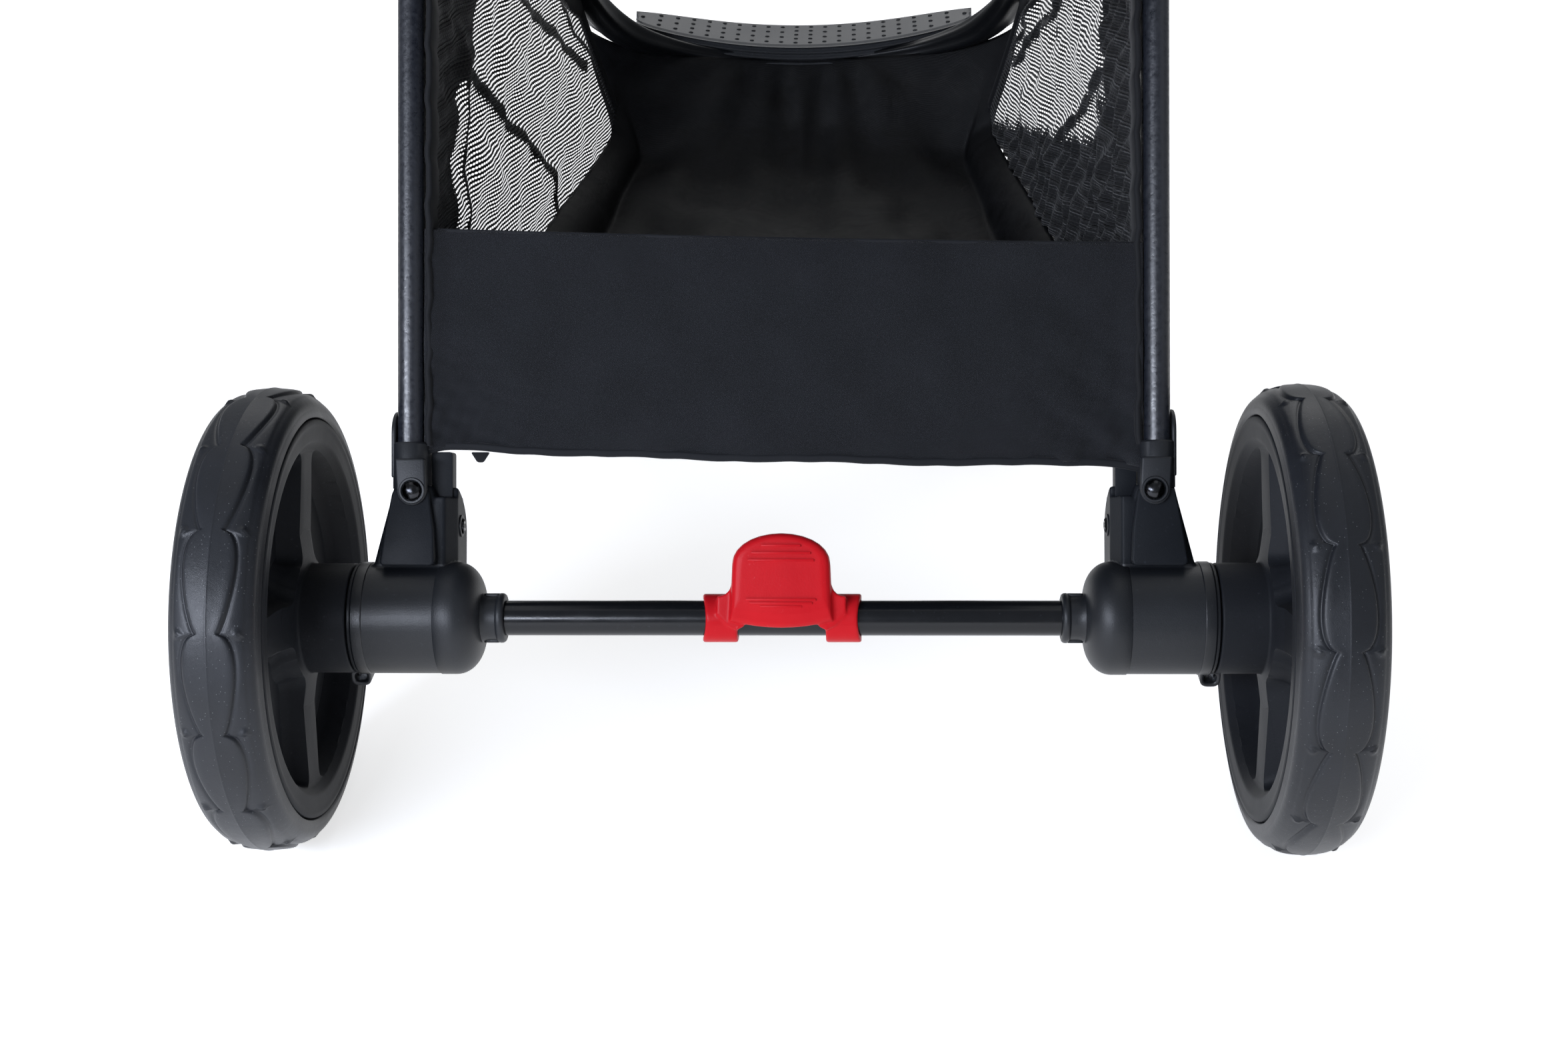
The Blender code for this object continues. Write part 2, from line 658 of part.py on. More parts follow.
def casters():
    stem_y = along(WHEELBASE + CASTER_TRAIL)
    wheel_y = along(WHEELBASE)
    fork_in = FRONT_TYRE_W / 2 + 0.0030
    fork_out = fork_in + 0.0060
    crown_low, crown_high = 2 * FRONT_WHEEL_R + 0.006, 2 * FRONT_WHEEL_R + 0.020
    socket_low = crown_high + 0.0105
    for word, side in sides():
        x = side * FRONT_WHEEL_X
        centre = (x, wheel_y, FRONT_WHEEL_R)
        stem = (x, stem_y, 0)
        bed = 0.0745
        tyre = lathe(tyre_profile(FRONT_WHEEL_R, FRONT_TYRE_W, bed), centre, 20)
        make_object(f"front_tyre_{word}", tyre, TYRE, centre)
        profile = [
            (-0.0165, bed - GAP),
            (-0.0165, 0.0630),
            (-0.0050, 0.0600),
            (-0.0050, 0.0180),
            (-0.0180, 0.0160),
            (-0.0180, 0.0053),
            (0.0180, 0.0053),
            (0.0180, 0.0160),
            (0.0050, 0.0180),
            (0.0050, 0.0600),
            (0.0165, 0.0630),
            (0.0165, bed - GAP),
        ]
        rim = make_object(f"front_rim_{word}", lathe(profile, centre, 20), PLASTIC, centre)
        combine(rim, "DIFFERENCE", wheel_pockets(centre, 0.024, 0.056, 0.008, x - 0.03, x + 0.03))
        head = [
            (-fork_out - 0.0030, 0.0075),
            (-fork_out - GAP, 0.0085),
            (-fork_out - GAP, 0.0050),
            (fork_out + GAP, 0.0050),
            (fork_out + GAP, 0.0085),
            (fork_out + 0.0030, 0.0075),
        ]
        make_object(f"caster_axle_{word}", turned(head, centre, 16), STEEL, stem)
        arm = []
        for step in range(7):
            turn = math.radians(-170 + 160 * step / 6)
            arm.append(
                (wheel_y + 0.0140 * math.cos(turn), FRONT_WHEEL_R + 0.0140 * math.sin(turn))
            )
        arm += [
            (wheel_y + 0.0300, 0.1400),
            (stem_y + 0.0150, crown_low),
            (stem_y + 0.0150, crown_high - 0.004),
            (stem_y + 0.0110, crown_high),
            (stem_y - 0.0300, crown_high),
            (stem_y - 0.0360, crown_high - 0.006),
        ]
        fork = make_object(
            f"caster_fork_{word}", prism(arm, x + fork_in, x + fork_out), PLASTIC, stem
        )
        crown = [
            (stem_y + 0.0140, crown_low),
            (stem_y + 0.0140, crown_high - 0.004),
            (stem_y + 0.0105, crown_high - 0.0004),
            (stem_y - 0.0295, crown_high - 0.0004),
            (stem_y - 0.0350, crown_high - 0.006),
            (stem_y - 0.0340, crown_low),
        ]
        other_arm = prism(arm, x - fork_out, x - fork_in)
        bridge = prism(crown, x - fork_out + 0.001, x + fork_out - 0.001)
        collar = disc(crown_high - 0.004, crown_high + 0.010, 0.0150, (x, stem_y, 0), 20, "Z")
        pin = disc(crown_high, crown_high + 0.040, 0.0060, (x, stem_y, 0), 14, "Z")
        combine(fork, "UNION", [other_arm, bridge, collar, pin])
        hole = disc(x - 0.05, x + 0.05, 0.0053, (0, wheel_y, FRONT_WHEEL_R), 16)
        combine(fork, "DIFFERENCE", [hole])
        leg = make_object(
            f"caster_leg_{word}",
            disc(socket_low, socket_low + 0.046, 0.0165, (x, stem_y, 0), 24, "Z"),
            PLASTIC,
            HUB,
        )
        half = 0.0110
        strut = [
            (stem_y + 0.0050, socket_low + 0.0100),
            (stem_y + 0.0100, socket_low + 0.0440),
            (along(0.5960), 0.3130),
            (along(0.5700), 0.3300),
            (along(0.5620), 0.3420),
            (along(0.5420), 0.3420),
            (along(0.5410), 0.3160),
            (along(0.5600), 0.2930),
            (along(0.6120), 0.2620),
            (stem_y - 0.0100, socket_low + 0.0080),
        ]
        combine(leg, "UNION", [prism(strut, x - half, x + half)])
        socket_bore = disc(socket_low - 0.01, socket_low + 0.0320, 0.0063, (x, stem_y, 0), 14, "Z")
        combine(leg, "DIFFERENCE", [socket_bore])
        combine(leg, "DIFFERENCE", [front_tube(2 * GAP)])


def handle():
    """The push bar: two oval tubes and a crossbar in one bend, and the foam grip round it."""
    rise = Vector((0, HANDLE_TOP_Y - HUB_Y, HANDLE_TOP_Z - HUB_Z))
    direction = rise.normalized()
    plane_normal = Vector((0, -direction.z, direction.y))
    base = Vector(HUB)
    top = base + rise
    bend = 0.060
    path = []
    start = base + direction * (HUB_R - 0.010)
    path.append(start + Vector((HANDLE_X, 0, 0)))
    path.append(top - direction * 0.30 + Vector((HANDLE_X, 0, 0)))
    for step in range(7):
        turn = math.radians(90 * step / 6)
        centre = top - direction * bend + Vector((HANDLE_X - bend, 0, 0))
        path.append(
            centre + Vector((bend * math.cos(turn), 0, 0)) + direction * (bend * math.sin(turn))
        )
    mirrored = [Vector((-p.x, p.y, p.z)) for p in reversed(path)]
    tube = swept_tube([*path, *mirrored], plane_normal, TUBE_W, 0.0240)
    make_object("handle_tube", tube, TUBE_PAINT, HUB)
    grip_ends = ((-0.1420, 0.0150), (-0.1390, 0.0168), (0.1390, 0.0168), (0.1420, 0.0150))
    outer = []
    for x, radius in grip_ends:
        outer.append(
            oval((x, top.y, top.z), direction, 2 * radius, plane_normal, 2 * radius + 0.006, 12)
        )
    grip = make_object("handle_grip", loft(outer), FOAM, HUB)
    inner = []
    for x in (-0.20, 0.20):
        inner.append(
            oval((x, top.y, top.z), direction, TUBE_W + 2 * GAP, plane_normal, 0.0246, 8)
        )
    combine(grip, "DIFFERENCE", [loft(inner)])
    for _, side in sides():
        path = [
            base + direction * (HUB_R - 0.014) + Vector((side * HANDLE_X, 0, 0)),
            base + direction * (HUB_R + 0.010) + Vector((side * HANDLE_X, 0, 0)),
        ]
        cut = swept_tube(path, plane_normal, TUBE_W + 2 * GAP, 0.0246)
        word = "right" if side > 0 else "left"
        combine(bpy.data.objects[f"handle_hub_{word}"], "DIFFERENCE", [cut])


def frame_hub_sockets():
    """Room in each frame hub for the top of the front tube."""
    for word, side in sides():
        path = [
            (side * 0.1830, along(0.2475), 0.6085),
            (side * 0.1830, along(0.3000), 0.5523),
        ]
        room = 0.0008
        cut = swept_tube(path, FRONT_TUBE_DEEP, TUBE_W + room, FRONT_TUBE_DEPTH + room)
        combine(bpy.data.objects[f"frame_hub_{word}"], "DIFFERENCE", [cut])


def cabin():
    """The pet's cabin: a fabric tub on a stiff floor, hung from a rim that clips onto the hubs."""
    wall = 0.005
    rings = []
    levels = (
        (CABIN_BOTTOM, 0.010),
        (CABIN_BOTTOM + 0.012, 0.003),
        (CABIN_TOP, 0.0),
    )
    for level, pull in levels:
        outline = rounded_rectangle(
            CABIN_HALF_W - pull, along(CABIN_BACK) + pull, along(CABIN_FRONT) - pull, 0.055
        )
        rings.append([(x, y, level) for x, y in outline])
    tub = make_object("cabin_tub", loft(rings), FABRIC, HUB)
    inside = rounded_rectangle(
        CABIN_HALF_W - wall - 0.003, along(CABIN_BACK) + wall, along(CABIN_FRONT) - wall, 0.050
    )
    combine(tub, "DIFFERENCE", [prism(inside, CABIN_BOTTOM + wall, CABIN_TOP + 0.02, "XY")])
    board_low = CABIN_BOTTOM + wall + GAP
    board = rounded_rectangle(
        CABIN_HALF_W - 0.012, along(CABIN_BACK) + 0.010, along(CABIN_FRONT) - 0.010, 0.045
    )
    make_object("floor_board", prism(board, board_low, board_low + 0.007, "XY"), PLASTIC, HUB)
    pad_low = board_low + 0.007 + GAP
    pad = []
    for level, pull in ((0, 0.008), (0.006, 0), (0.024, 0), (0.032, 0.010)):
        outline = rounded_rectangle(
            CABIN_HALF_W - 0.014 - pull,
            along(CABIN_BACK) + 0.012 + pull,
            along(CABIN_FRONT) - 0.012 - pull,
            0.045,
        )
        pad.append([(x, y, pad_low + level) for x, y in outline])
    make_object("mattress", loft(pad), CUSHION_GREY, HUB)
    rim_r = 0.007
    rim_z = CABIN_TOP + GAP + rim_r
    rim_path = rounded_rectangle(
        CABIN_HALF_W + 0.002, along(CABIN_BACK) - 0.005, along(CABIN_FRONT) + 0.005, 0.057
    )
    rings = []
    count = len(rim_path)
    for i, (x, y) in enumerate(rim_path):
        x0, y0 = rim_path[i - 1]
        x1, y1 = rim_path[(i + 1) % count]
        tangent = Vector((x1 - x0, y1 - y0, 0)).normalized()
        across = Vector((tangent.y, -tangent.x, 0))
        ring = []
        for step in range(8):
            turn = 2 * math.pi * step / 8
            offset = across * (rim_r * math.cos(turn))
            ring.append(Vector((x, y, rim_z + rim_r * math.sin(turn))) + offset)
        rings.append(ring)
    rim = make_object("cabin_rim", loft(rings, closed=True), TUBE_PAINT, HUB)
    tabs = []
    for _, side in sides():
        low, high = sorted((side * (CABIN_HALF_W + 0.0030), side * (FRONT_DISC[0] - 0.0005)))
        tabs.append(
            block((low, along(HUB_Y) - 0.024, HUB_Z - 0.020), (high, along(HUB_Y) + 0.024, rim_z))
        )
        low, high = sorted((side * (CABIN_HALF_W - 0.006), side * (CABIN_HALF_W + 0.005)))
        tabs.append(
            block(
                (low, along(CANOPY_Y) - 0.014, rim_z), (high, along(CANOPY_Y) + 0.014, CANOPY_Z + 0.012)
            )
        )
    combine(rim, "UNION", tabs)


def hoop_outline(half, length, corner, steps=4):
    """A hoop's half outline in its own plane, from its foot to the middle: (across, up)."""
    outline = [(half, 0.0), (half, length - corner)]
    for step in range(1, steps + 1):
        turn = math.radians(90 * step / steps)
        outline.append(
            (half - corner + corner * math.cos(turn), length - corner + corner * math.sin(turn))
        )
    return outline


def canopy():
    """Two sprung-steel hoops on the cabin rim, with a fabric panel behind each."""
    centre = Vector((0, along(CANOPY_Y), CANOPY_Z))
    outline = hoop_outline(0.1520, HOOP_LENGTH, 0.075)
    full = [*outline, *[(-a, b) for a, b in reversed(outline)]]
    hoops = (("canopy_hoop_middle", 0, 0.0), ("canopy_hoop_front", 58, 0.0045))
    for name, angle, inset in hoops:
        turn = math.radians(angle)
        up = Vector((0, math.sin(turn), math.cos(turn)))
        normal = Vector((0, math.cos(turn), -math.sin(turn)))
        path = []
        for a, b in full:
            a = a - math.copysign(inset, a)
            path.append(centre + Vector((a, 0, 0)) + up * (b - (inset if b > 0.01 else 0)))
        make_object(name, swept_tube(path, normal, 0.0035, 0.0110, 8), STEEL, centre)
    panels = (
        ("canopy_panel_rear", -82, -3.0, CANOPY_BACK_LENGTH),
        ("canopy_panel_front", 0.5, 58, HOOP_LENGTH),
    )
    for name, start, end, start_length in panels:
        steps = 4
        rings = []
        for step in range(steps + 1):
            share = step / steps
            turn = math.radians(start + (end - start) * share)
            length = start_length + (HOOP_LENGTH - start_length) * math.sin(share * math.pi / 2)
            up = Vector((0, math.sin(turn), math.cos(turn)))
            ring = []
            for gap in (0.0028, 0.0048):
                layer = []
                for a, b in hoop_outline(0.1520 + gap, length + gap, 0.075 + gap):
                    layer.append(centre + Vector((a, 0, 0)) + up * max(b, 0.045))
                layer += [Vector((-p.x, p.y, p.z)) for p in reversed(layer)]
                ring.append(layer)
            rings.append([*ring[0], *reversed(ring[1])])
        make_object(name, loft(rings), FABRIC, centre)


def basket():
    """A shopping basket slung between the rear legs and the front tube."""
    panel = block((-0.1885, -0.0015, 0.0890), (0.1885, 0.0015, 0.2050))
    make_object("basket_rear_panel", leaning(panel, 0), FABRIC, HUB)
    sheet = 0.0030
    floor = [
        (0.0480, 0.2080, 0.1850),
        (0.2000, 0.2120, 0.1730),
        (0.3800, 0.2320, 0.1500),
        (0.5200, 0.2550, 0.1270),
        (0.5340, 0.3020, 0.1270),
    ]
    rings = []
    for i, (y, z, half) in enumerate(floor):
        before = floor[max(i - 1, 0)]
        after = floor[min(i + 1, len(floor) - 1)]
        run, rise = after[0] - before[0], after[1] - before[1]
        size = math.hypot(run, rise)
        normal_y, normal_z = -rise / size * sheet / 2, run / size * sheet / 2
        rings.append(
            [
                (-half, along(y + normal_y), z + normal_z),
                (half, along(y + normal_y), z + normal_z),
                (half, along(y - normal_y), z - normal_z),
                (-half, along(y - normal_y), z - normal_z),
            ]
        )
    make_object("basket_floor", loft(rings), FABRIC, HUB)
    stations = (
        (0.1010, 0.2600, 0.1890, 0.1960, 0.4700),
        (0.2000, 0.2200, 0.1770, 0.2600, 0.4600),
        (0.3800, 0.2400, 0.1540, 0.4000, 0.4200),
        (0.5200, 0.2680, 0.1320, 0.5000, 0.3560),
    )
    for word, side in sides():
        rings = []
        for low_y, low_z, low_x, high_y, high_z in stations:
            high_x = min(low_x + 0.010, 0.1885)
            rings.append(
                [
                    (side * (low_x - 0.001), along(low_y), low_z),
                    (side * (low_x + 0.001), along(low_y), low_z),
                    (side * (high_x + 0.001), along(high_y), high_z),
                    (side * (high_x - 0.001), along(high_y), high_z),
                ]
            )
        make_object(f"basket_side_{word}", loft(rings), MESH_FABRIC, HUB)


def main():
    clear_scene()
    rear_wheels()
    rear_axle_shafts()
    axle_housings()
    housing_caps()
    bracket_covers()
    leg_sockets()
    rear_legs()
    brake()
    release_levers()
    hubs()
    make_object("front_tube", front_tube(), TUBE_PAINT, HUB)
    frame_hub_sockets()
    footrest()
    casters()
    handle()
    cabin()
    canopy()
    basket()


main()
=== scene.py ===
"""The looks of the pet stroller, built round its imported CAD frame.

Metres, +Z up, +Y is the way the stroller rolls and +X is its right-hand side.
"""

import math

import bmesh
import bpy
import numpy as np
from mathutils import Matrix, Vector


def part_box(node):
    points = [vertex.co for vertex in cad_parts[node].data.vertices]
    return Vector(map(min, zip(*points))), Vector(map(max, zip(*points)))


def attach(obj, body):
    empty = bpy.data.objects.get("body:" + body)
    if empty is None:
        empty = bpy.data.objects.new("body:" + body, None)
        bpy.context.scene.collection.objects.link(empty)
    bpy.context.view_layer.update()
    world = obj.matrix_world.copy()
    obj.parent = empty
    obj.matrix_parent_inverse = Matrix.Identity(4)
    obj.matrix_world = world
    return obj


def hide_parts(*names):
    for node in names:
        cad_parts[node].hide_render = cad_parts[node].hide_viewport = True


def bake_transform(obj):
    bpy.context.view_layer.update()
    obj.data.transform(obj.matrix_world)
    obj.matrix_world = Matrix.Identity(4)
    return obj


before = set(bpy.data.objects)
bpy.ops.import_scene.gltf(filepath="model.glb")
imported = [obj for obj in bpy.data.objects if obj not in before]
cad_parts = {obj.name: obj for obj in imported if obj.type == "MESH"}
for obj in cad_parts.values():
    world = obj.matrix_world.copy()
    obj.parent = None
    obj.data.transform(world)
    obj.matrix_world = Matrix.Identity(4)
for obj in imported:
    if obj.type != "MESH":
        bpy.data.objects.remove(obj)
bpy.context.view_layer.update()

SIDES = (("left", -1), ("right", 1))


def middle(node):
    low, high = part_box(node)
    return (low + high) / 2


# Places read from the frame.
AXLE = middle("brake_bar")
HUB = Vector((0, *middle("frame_hub_left").yz))
LEAN = math.atan2(HUB.y - AXLE.y, HUB.z - AXLE.z)
WHEEL_X = middle("rear_tyre_right").x
WHEEL_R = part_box("rear_tyre_right")[1].z / 2
TYRE_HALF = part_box("rear_tyre_right")[1].x - WHEEL_X
LEG_X = middle("rear_leg_right").x
BAR_R = (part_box("brake_bar")[1].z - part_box("brake_bar")[0].z) / 2
BARREL_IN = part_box("housing_cap_right")[1].x
BARREL_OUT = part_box("axle_housing_right")[1].x
BARREL_R = 0.030

# Places chosen here, which more than one piece keeps to.
UPWARDS = Vector((0, 0, 1))
CANOPY_PIVOT = Vector((0, AXLE.y + 0.130, 0.722))
RIVET_UP = 0.0687  # the rivet's height up the leg's slope
EAR_FACE = 0.0242  # from the leg's middle to the inner face of the ear
TRAY_NEAR_Z, TRAY_FAR_Z = 0.3175, 0.3210
LOCK_HOLES = 12
SPOKE_TURN = 0.225  # how far the rear rims' spokes are turned, in quarter turns
RIGHT_TREAD_TURN = 0.066  # how much further round the right tyre's pattern stands, in radians


def on_leg(x, out, up):
    """A place given up the rear legs' slope from the axle, and out square to it, forwards."""
    return Vector(
        (
            x,
            AXLE.y + out * math.cos(LEAN) + up * math.sin(LEAN),
            AXLE.z - out * math.sin(LEAN) + up * math.cos(LEAN),
        )
    )


def ahead(x, distance, z):
    """A place this far ahead of the rear axle, at a height above the ground."""
    return Vector((x, AXLE.y + distance, z))


# ---------------------------------------------------------------- materials


class Look:
    """A material being built: short calls that add nodes and link them."""

    def __init__(self, name, colour, roughness, metallic=0.0, **fixed):
        self.material = bpy.data.materials.new(name)
        self.material.use_nodes = True
        self.nodes = self.material.node_tree.nodes
        self.links = self.material.node_tree.links
        self.shader = self.nodes["Principled BSDF"]
        self.set("Base Color", (*colour, 1.0))
        self.set("Roughness", roughness)
        self.set("Metallic", metallic)
        for socket, value in fixed.items():
            self.set(socket.replace("_", " "), value)
        self.place = self.nodes.new("ShaderNodeTexCoord").outputs["Object"]

    def set(self, socket, value):
        self.join(self.shader.inputs[socket], value)

    def join(self, socket, value):
        if isinstance(value, bpy.types.NodeSocket):
            self.links.new(value, socket)
        else:
            socket.default_value = value

    def node(self, kind, settings=(), **inputs):
        node = self.nodes.new(kind)
        for key, value in dict(settings).items():
            setattr(node, key, value)
        for key, value in inputs.items():
            self.join(node.inputs[key], value)
        return node

    def noise(self, scale, detail=2.0, place=None, distortion=0.0):
        where = self.place if place is None else place
        node = self.node(
            "ShaderNodeTexNoise", Vector=where, Scale=scale, Detail=detail, Distortion=distortion
        )
        return node.outputs["Fac"]

    def spots(self, scale, place=None):
        where = self.place if place is None else place
        return self.node("ShaderNodeTexVoronoi", Vector=where, Scale=scale).outputs["Distance"]

    def remap(self, value, low, high, to_low, to_high):
        node = self.node("ShaderNodeMapRange")
        for index, number in enumerate((value, low, high, to_low, to_high)):
            self.join(node.inputs[index], number)
        return node.outputs[0]

    def maths(self, operation, first, second=0.0):
        node = self.node("ShaderNodeMath", {"operation": operation})
        self.join(node.inputs[0], first)
        self.join(node.inputs[1], second)
        return node.outputs[0]

    def mix(self, share, first, second):
        node = self.node("ShaderNodeMix", {"data_type": "RGBA"})
        self.join(node.inputs[0], share)
        for index, colour in ((6, first), (7, second)):
            value = colour if isinstance(colour, bpy.types.NodeSocket) else (*colour, 1.0)
            self.join(node.inputs[index], value)
        return node.outputs[2]

    def shades(self, colour, value, low, high, dark, light):
        """The colour, darker where the value is low and lighter where it is high."""
        share = self.remap(value, low, high, 0.0, 1.0)
        return self.mix(share, tinted(colour, dark), tinted(colour, light))

    def times(self, first, second):
        return self.maths("MULTIPLY", first, second)

    def plus(self, first, second):
        return self.maths("ADD", first, second)

    def wave(self, kind, place, rate):
        """SINE or COSINE of a place times a rate."""
        return self.maths(kind, self.times(place, rate))

    def bump(self, height, depth, under=None):
        """Relief of this depth in metres, laid over the normal of an earlier one."""
        node = self.node("ShaderNodeBump", Height=height, Strength=1.0, Distance=depth)
        if under is not None:
            self.join(node.inputs["Normal"], under)
        self.set("Normal", node.outputs["Normal"])
        return node.outputs["Normal"]

    def cloth_place(self):
        """Where a point lies on the flat cloth, in metres."""
        return self.node("ShaderNodeUVMap", {"uv_map": "cloth"}).outputs["UV"]

    def across(self, place):
        return self.node("ShaderNodeSeparateXYZ", Vector=place).outputs


def tinted(colour, factor):
    return tuple(channel * factor for channel in colour)


def moulded_plastic(
    name, colour=(0.0085, 0.0098, 0.0122), roughness=0.44, grain=1500.0, shine=0.40,
):
    """Spark-eroded moulded plastic: a fine grain, slow colour drift, and dust in patches."""
    look = Look(name, colour, roughness, Specular_IOR_Level=shine)
    drift = look.noise(14.0, 3.0)
    dust = look.noise(420.0, 2.0)
    dusty = look.remap(dust, 0.66, 0.80, 0.0, 0.55)
    shade = look.shades(colour, drift, 0.3, 0.7, 0.86, 1.22)
    look.set("Base Color", look.mix(dusty, shade, tinted(colour, 2.6)))
    look.set("Roughness", look.remap(drift, 0.25, 0.75, roughness - 0.05, roughness + 0.08))
    fine = look.bump(look.noise(grain, 2.0), 0.00007)
    look.bump(look.noise(90.0, 2.0), 0.00010, fine)
    return look.material


def textured_paint(name, colour=(0.0085, 0.0100, 0.0145), roughness=0.31):
    """Dark powder paint with an orange-peel grain and fine metal flakes."""
    look = Look(name, colour, roughness, Specular_IOR_Level=0.60)
    peel = look.noise(420.0, 3.0)
    flakes = look.remap(look.spots(2600.0), 0.05, 0.16, 1.0, 0.0)
    look.set(
        "Base Color",
        look.mix(
            flakes, look.mix(peel, tinted(colour, 0.7), tinted(colour, 1.5)), tinted(colour, 5.0),
        ),
    )
    look.set("Roughness", look.remap(peel, 0.3, 0.7, roughness - 0.06, roughness + 0.14))
    look.bump(peel, 0.00012)
    return look.material


def satin_paint(name, colour=(0.0050, 0.0056, 0.0070), roughness=0.19):
    """Smooth satin paint with a little dust and long drawing marks."""
    look = Look(name, colour, roughness, Specular_IOR_Level=0.36)
    marks = look.noise(60.0, 3.0)
    dusty = look.remap(look.noise(700.0, 2.0), 0.68, 0.80, 0.0, 0.6)
    look.set("Base Color", look.mix(dusty, colour, tinted(colour, 5.0)))
    look.set("Roughness", look.remap(marks, 0.3, 0.7, roughness - 0.04, roughness + 0.07))
    look.bump(look.noise(1800.0, 1.0), 0.00002)
    return look.material


def tyre_foam(name):
    """Foam rubber: matte charcoal with a grey bloom, dust grains and a fine pitted skin."""
    colour = (0.0092, 0.0104, 0.0134)
    look = Look(name, colour, 0.50, Specular_IOR_Level=0.36)
    bloom = look.noise(22.0, 4.0, distortion=0.4)
    grains = look.remap(look.spots(460.0), 0.04, 0.12, 1.0, 0.0)
    shade = look.shades(colour, bloom, 0.3, 0.72, 0.80, 1.38)
    look.set("Base Color", look.mix(grains, shade, (0.13, 0.135, 0.14)))
    look.set("Roughness", look.remap(bloom, 0.25, 0.75, 0.36, 0.50))
    fine = look.bump(look.noise(2200.0, 2.0), 0.00006)
    look.bump(look.noise(260.0, 3.0), 0.00010, fine)
    return look.material


def polyester(name, colour=(0.0088, 0.0096, 0.0118), thread=0.0009, fleck=2.6, roughness=0.72):
    """Plain-woven polyester with lighter flecks along its threads."""
    look = Look(
        name, colour, roughness, Sheen_Weight=0.10, Sheen_Roughness=0.4, Specular_IOR_Level=0.16,
    )
    place = look.cloth_place()
    u, v, _ = look.across(place)
    turn = 2 * math.pi / thread
    over = look.wave("SINE", u, turn)
    under = look.wave("SINE", v, turn)
    weave = look.times(over, under)
    slub = look.noise(1900.0, 2.0, place)
    drift = look.noise(30.0, 3.0, place)
    flecks = look.remap(slub, 0.52, 0.72, 0.0, 0.8)
    shade = look.shades(colour, drift, 0.3, 0.7, 0.84, 1.18)
    look.set("Base Color", look.mix(flecks, shade, tinted(colour, fleck)))
    fine = look.bump(weave, 0.00013)
    look.bump(slub, 0.00016, fine)
    return look.material


def nylon(name, colour=(0.0042, 0.0044, 0.0052), roughness=0.46):
    """Thin coated nylon lining with a soft satin gloss and fine creases, painted darker in their
    hollows and lighter on their crests.
    """
    look = Look(name, colour, roughness, Specular_IOR_Level=0.14)
    place = look.cloth_place()
    _, v, _ = look.across(place)
    threads = look.wave("SINE", v, 2 * math.pi / 0.0008)
    creases = look.noise(38.0, 5.0, place, 1.2)
    # Painted shade and sheen: the colour is darker in the crease hollows and lighter on the crests.
    look.set("Base Color", look.shades(colour, creases, 0.3, 0.7, 0.75, 1.5))
    look.set("Roughness", look.remap(creases, 0.3, 0.7, roughness - 0.08, roughness + 0.08))
    fine = look.bump(threads, 0.00005)
    look.bump(creases, 0.0006, fine)
    return look.material


def netting(name, colour=(0.0065, 0.0068, 0.0078), across=0.0030, along=0.0025):
    """Knitted net: rows of oval holes between wavy threads; "dense" says where it closes up."""
    look = Look(name, colour, 0.60, Specular_IOR_Level=0.35, Sheen_Weight=0.1)
    place = look.cloth_place()
    wave = look.noise(15.0, 2.0, place)
    u, v, _ = look.across(place)
    row = look.plus(v, look.times(wave, 0.007))
    row = look.plus(row, look.times(look.noise(170.0, 2.0, place), 0.0005))
    turns_v = look.times(row, math.pi / along)
    rank = look.maths("FLOOR", look.plus(look.maths("DIVIDE", row, along), 0.5))
    shifted = look.times(look.maths("FRACT", look.times(rank, 0.5)), across)
    turns_u = look.times(look.plus(u, shifted), math.pi / across)
    oval = look.plus(look.times(look.maths("ABSOLUTE", look.maths("COSINE", turns_u)), 0.34), 0.66)
    open_here = look.times(look.maths("ABSOLUTE", look.maths("COSINE", turns_v)), oval)
    dense = look.node("ShaderNodeAttribute", {"attribute_name": "dense"}).outputs["Fac"]
    edge = look.plus(look.times(dense, 0.38), 0.68)
    opened = look.remap(look.maths("SUBTRACT", open_here, edge), 0.0, 0.10, 0.0, 1.0)
    knit = look.wave("SINE", row, 2 * math.pi / 0.0021)
    fine = look.bump(look.maths("SUBTRACT", 1.0, open_here), 0.0007)
    look.bump(look.times(knit, dense), 0.0005, fine)
    clear = look.nodes.new("ShaderNodeBsdfTransparent")
    mixer = look.nodes.new("ShaderNodeMixShader")
    output = look.nodes["Material Output"]
    look.links.new(opened, mixer.inputs[0])
    look.links.new(look.shader.outputs[0], mixer.inputs[1])
    look.links.new(clear.outputs[0], mixer.inputs[2])
    look.links.new(mixer.outputs[0], output.inputs["Surface"])
    return look.material


def steel(name, colour=(0.56, 0.57, 0.59), roughness=0.28):
    """Turned and brushed steel with faint rings and handling marks."""
    look = Look(name, colour, roughness, 1.0)
    marks = look.noise(240.0, 4.0, distortion=2.0)
    look.set(
        "Base Color",
        look.mix(look.remap(marks, 0.35, 0.7, 0.0, 1.0), tinted(colour, 0.72), colour),
    )
    look.set("Roughness", look.remap(marks, 0.3, 0.7, roughness - 0.08, roughness + 0.14))
    look.bump(marks, 0.00003)
    return look.material


def red_plastic(name):
    """Soft satin red plastic with a slow drift of tone and a few scuffs."""
    colour = (0.480, 0.0075, 0.0130)
    look = Look(name, colour, 0.40, Specular_IOR_Level=0.09)
    drift = look.noise(26.0, 3.0)
    scuffs = look.remap(look.noise(310.0, 3.0), 0.70, 0.80, 0.0, 0.6)
    shade = look.mix(
        look.remap(drift, 0.3, 0.7, 0.0, 1.0), tinted(colour, 0.90), (0.49, 0.0080, 0.0130),
    )
    look.set("Base Color", look.mix(scuffs, shade, (0.60, 0.09, 0.10)))
    look.set("Roughness", look.remap(drift, 0.3, 0.7, 0.31, 0.43))
    fine = look.bump(look.noise(1300.0, 2.0), 0.00005)
    look.bump(look.noise(70.0, 2.0), 0.00012, fine)
    return look.material


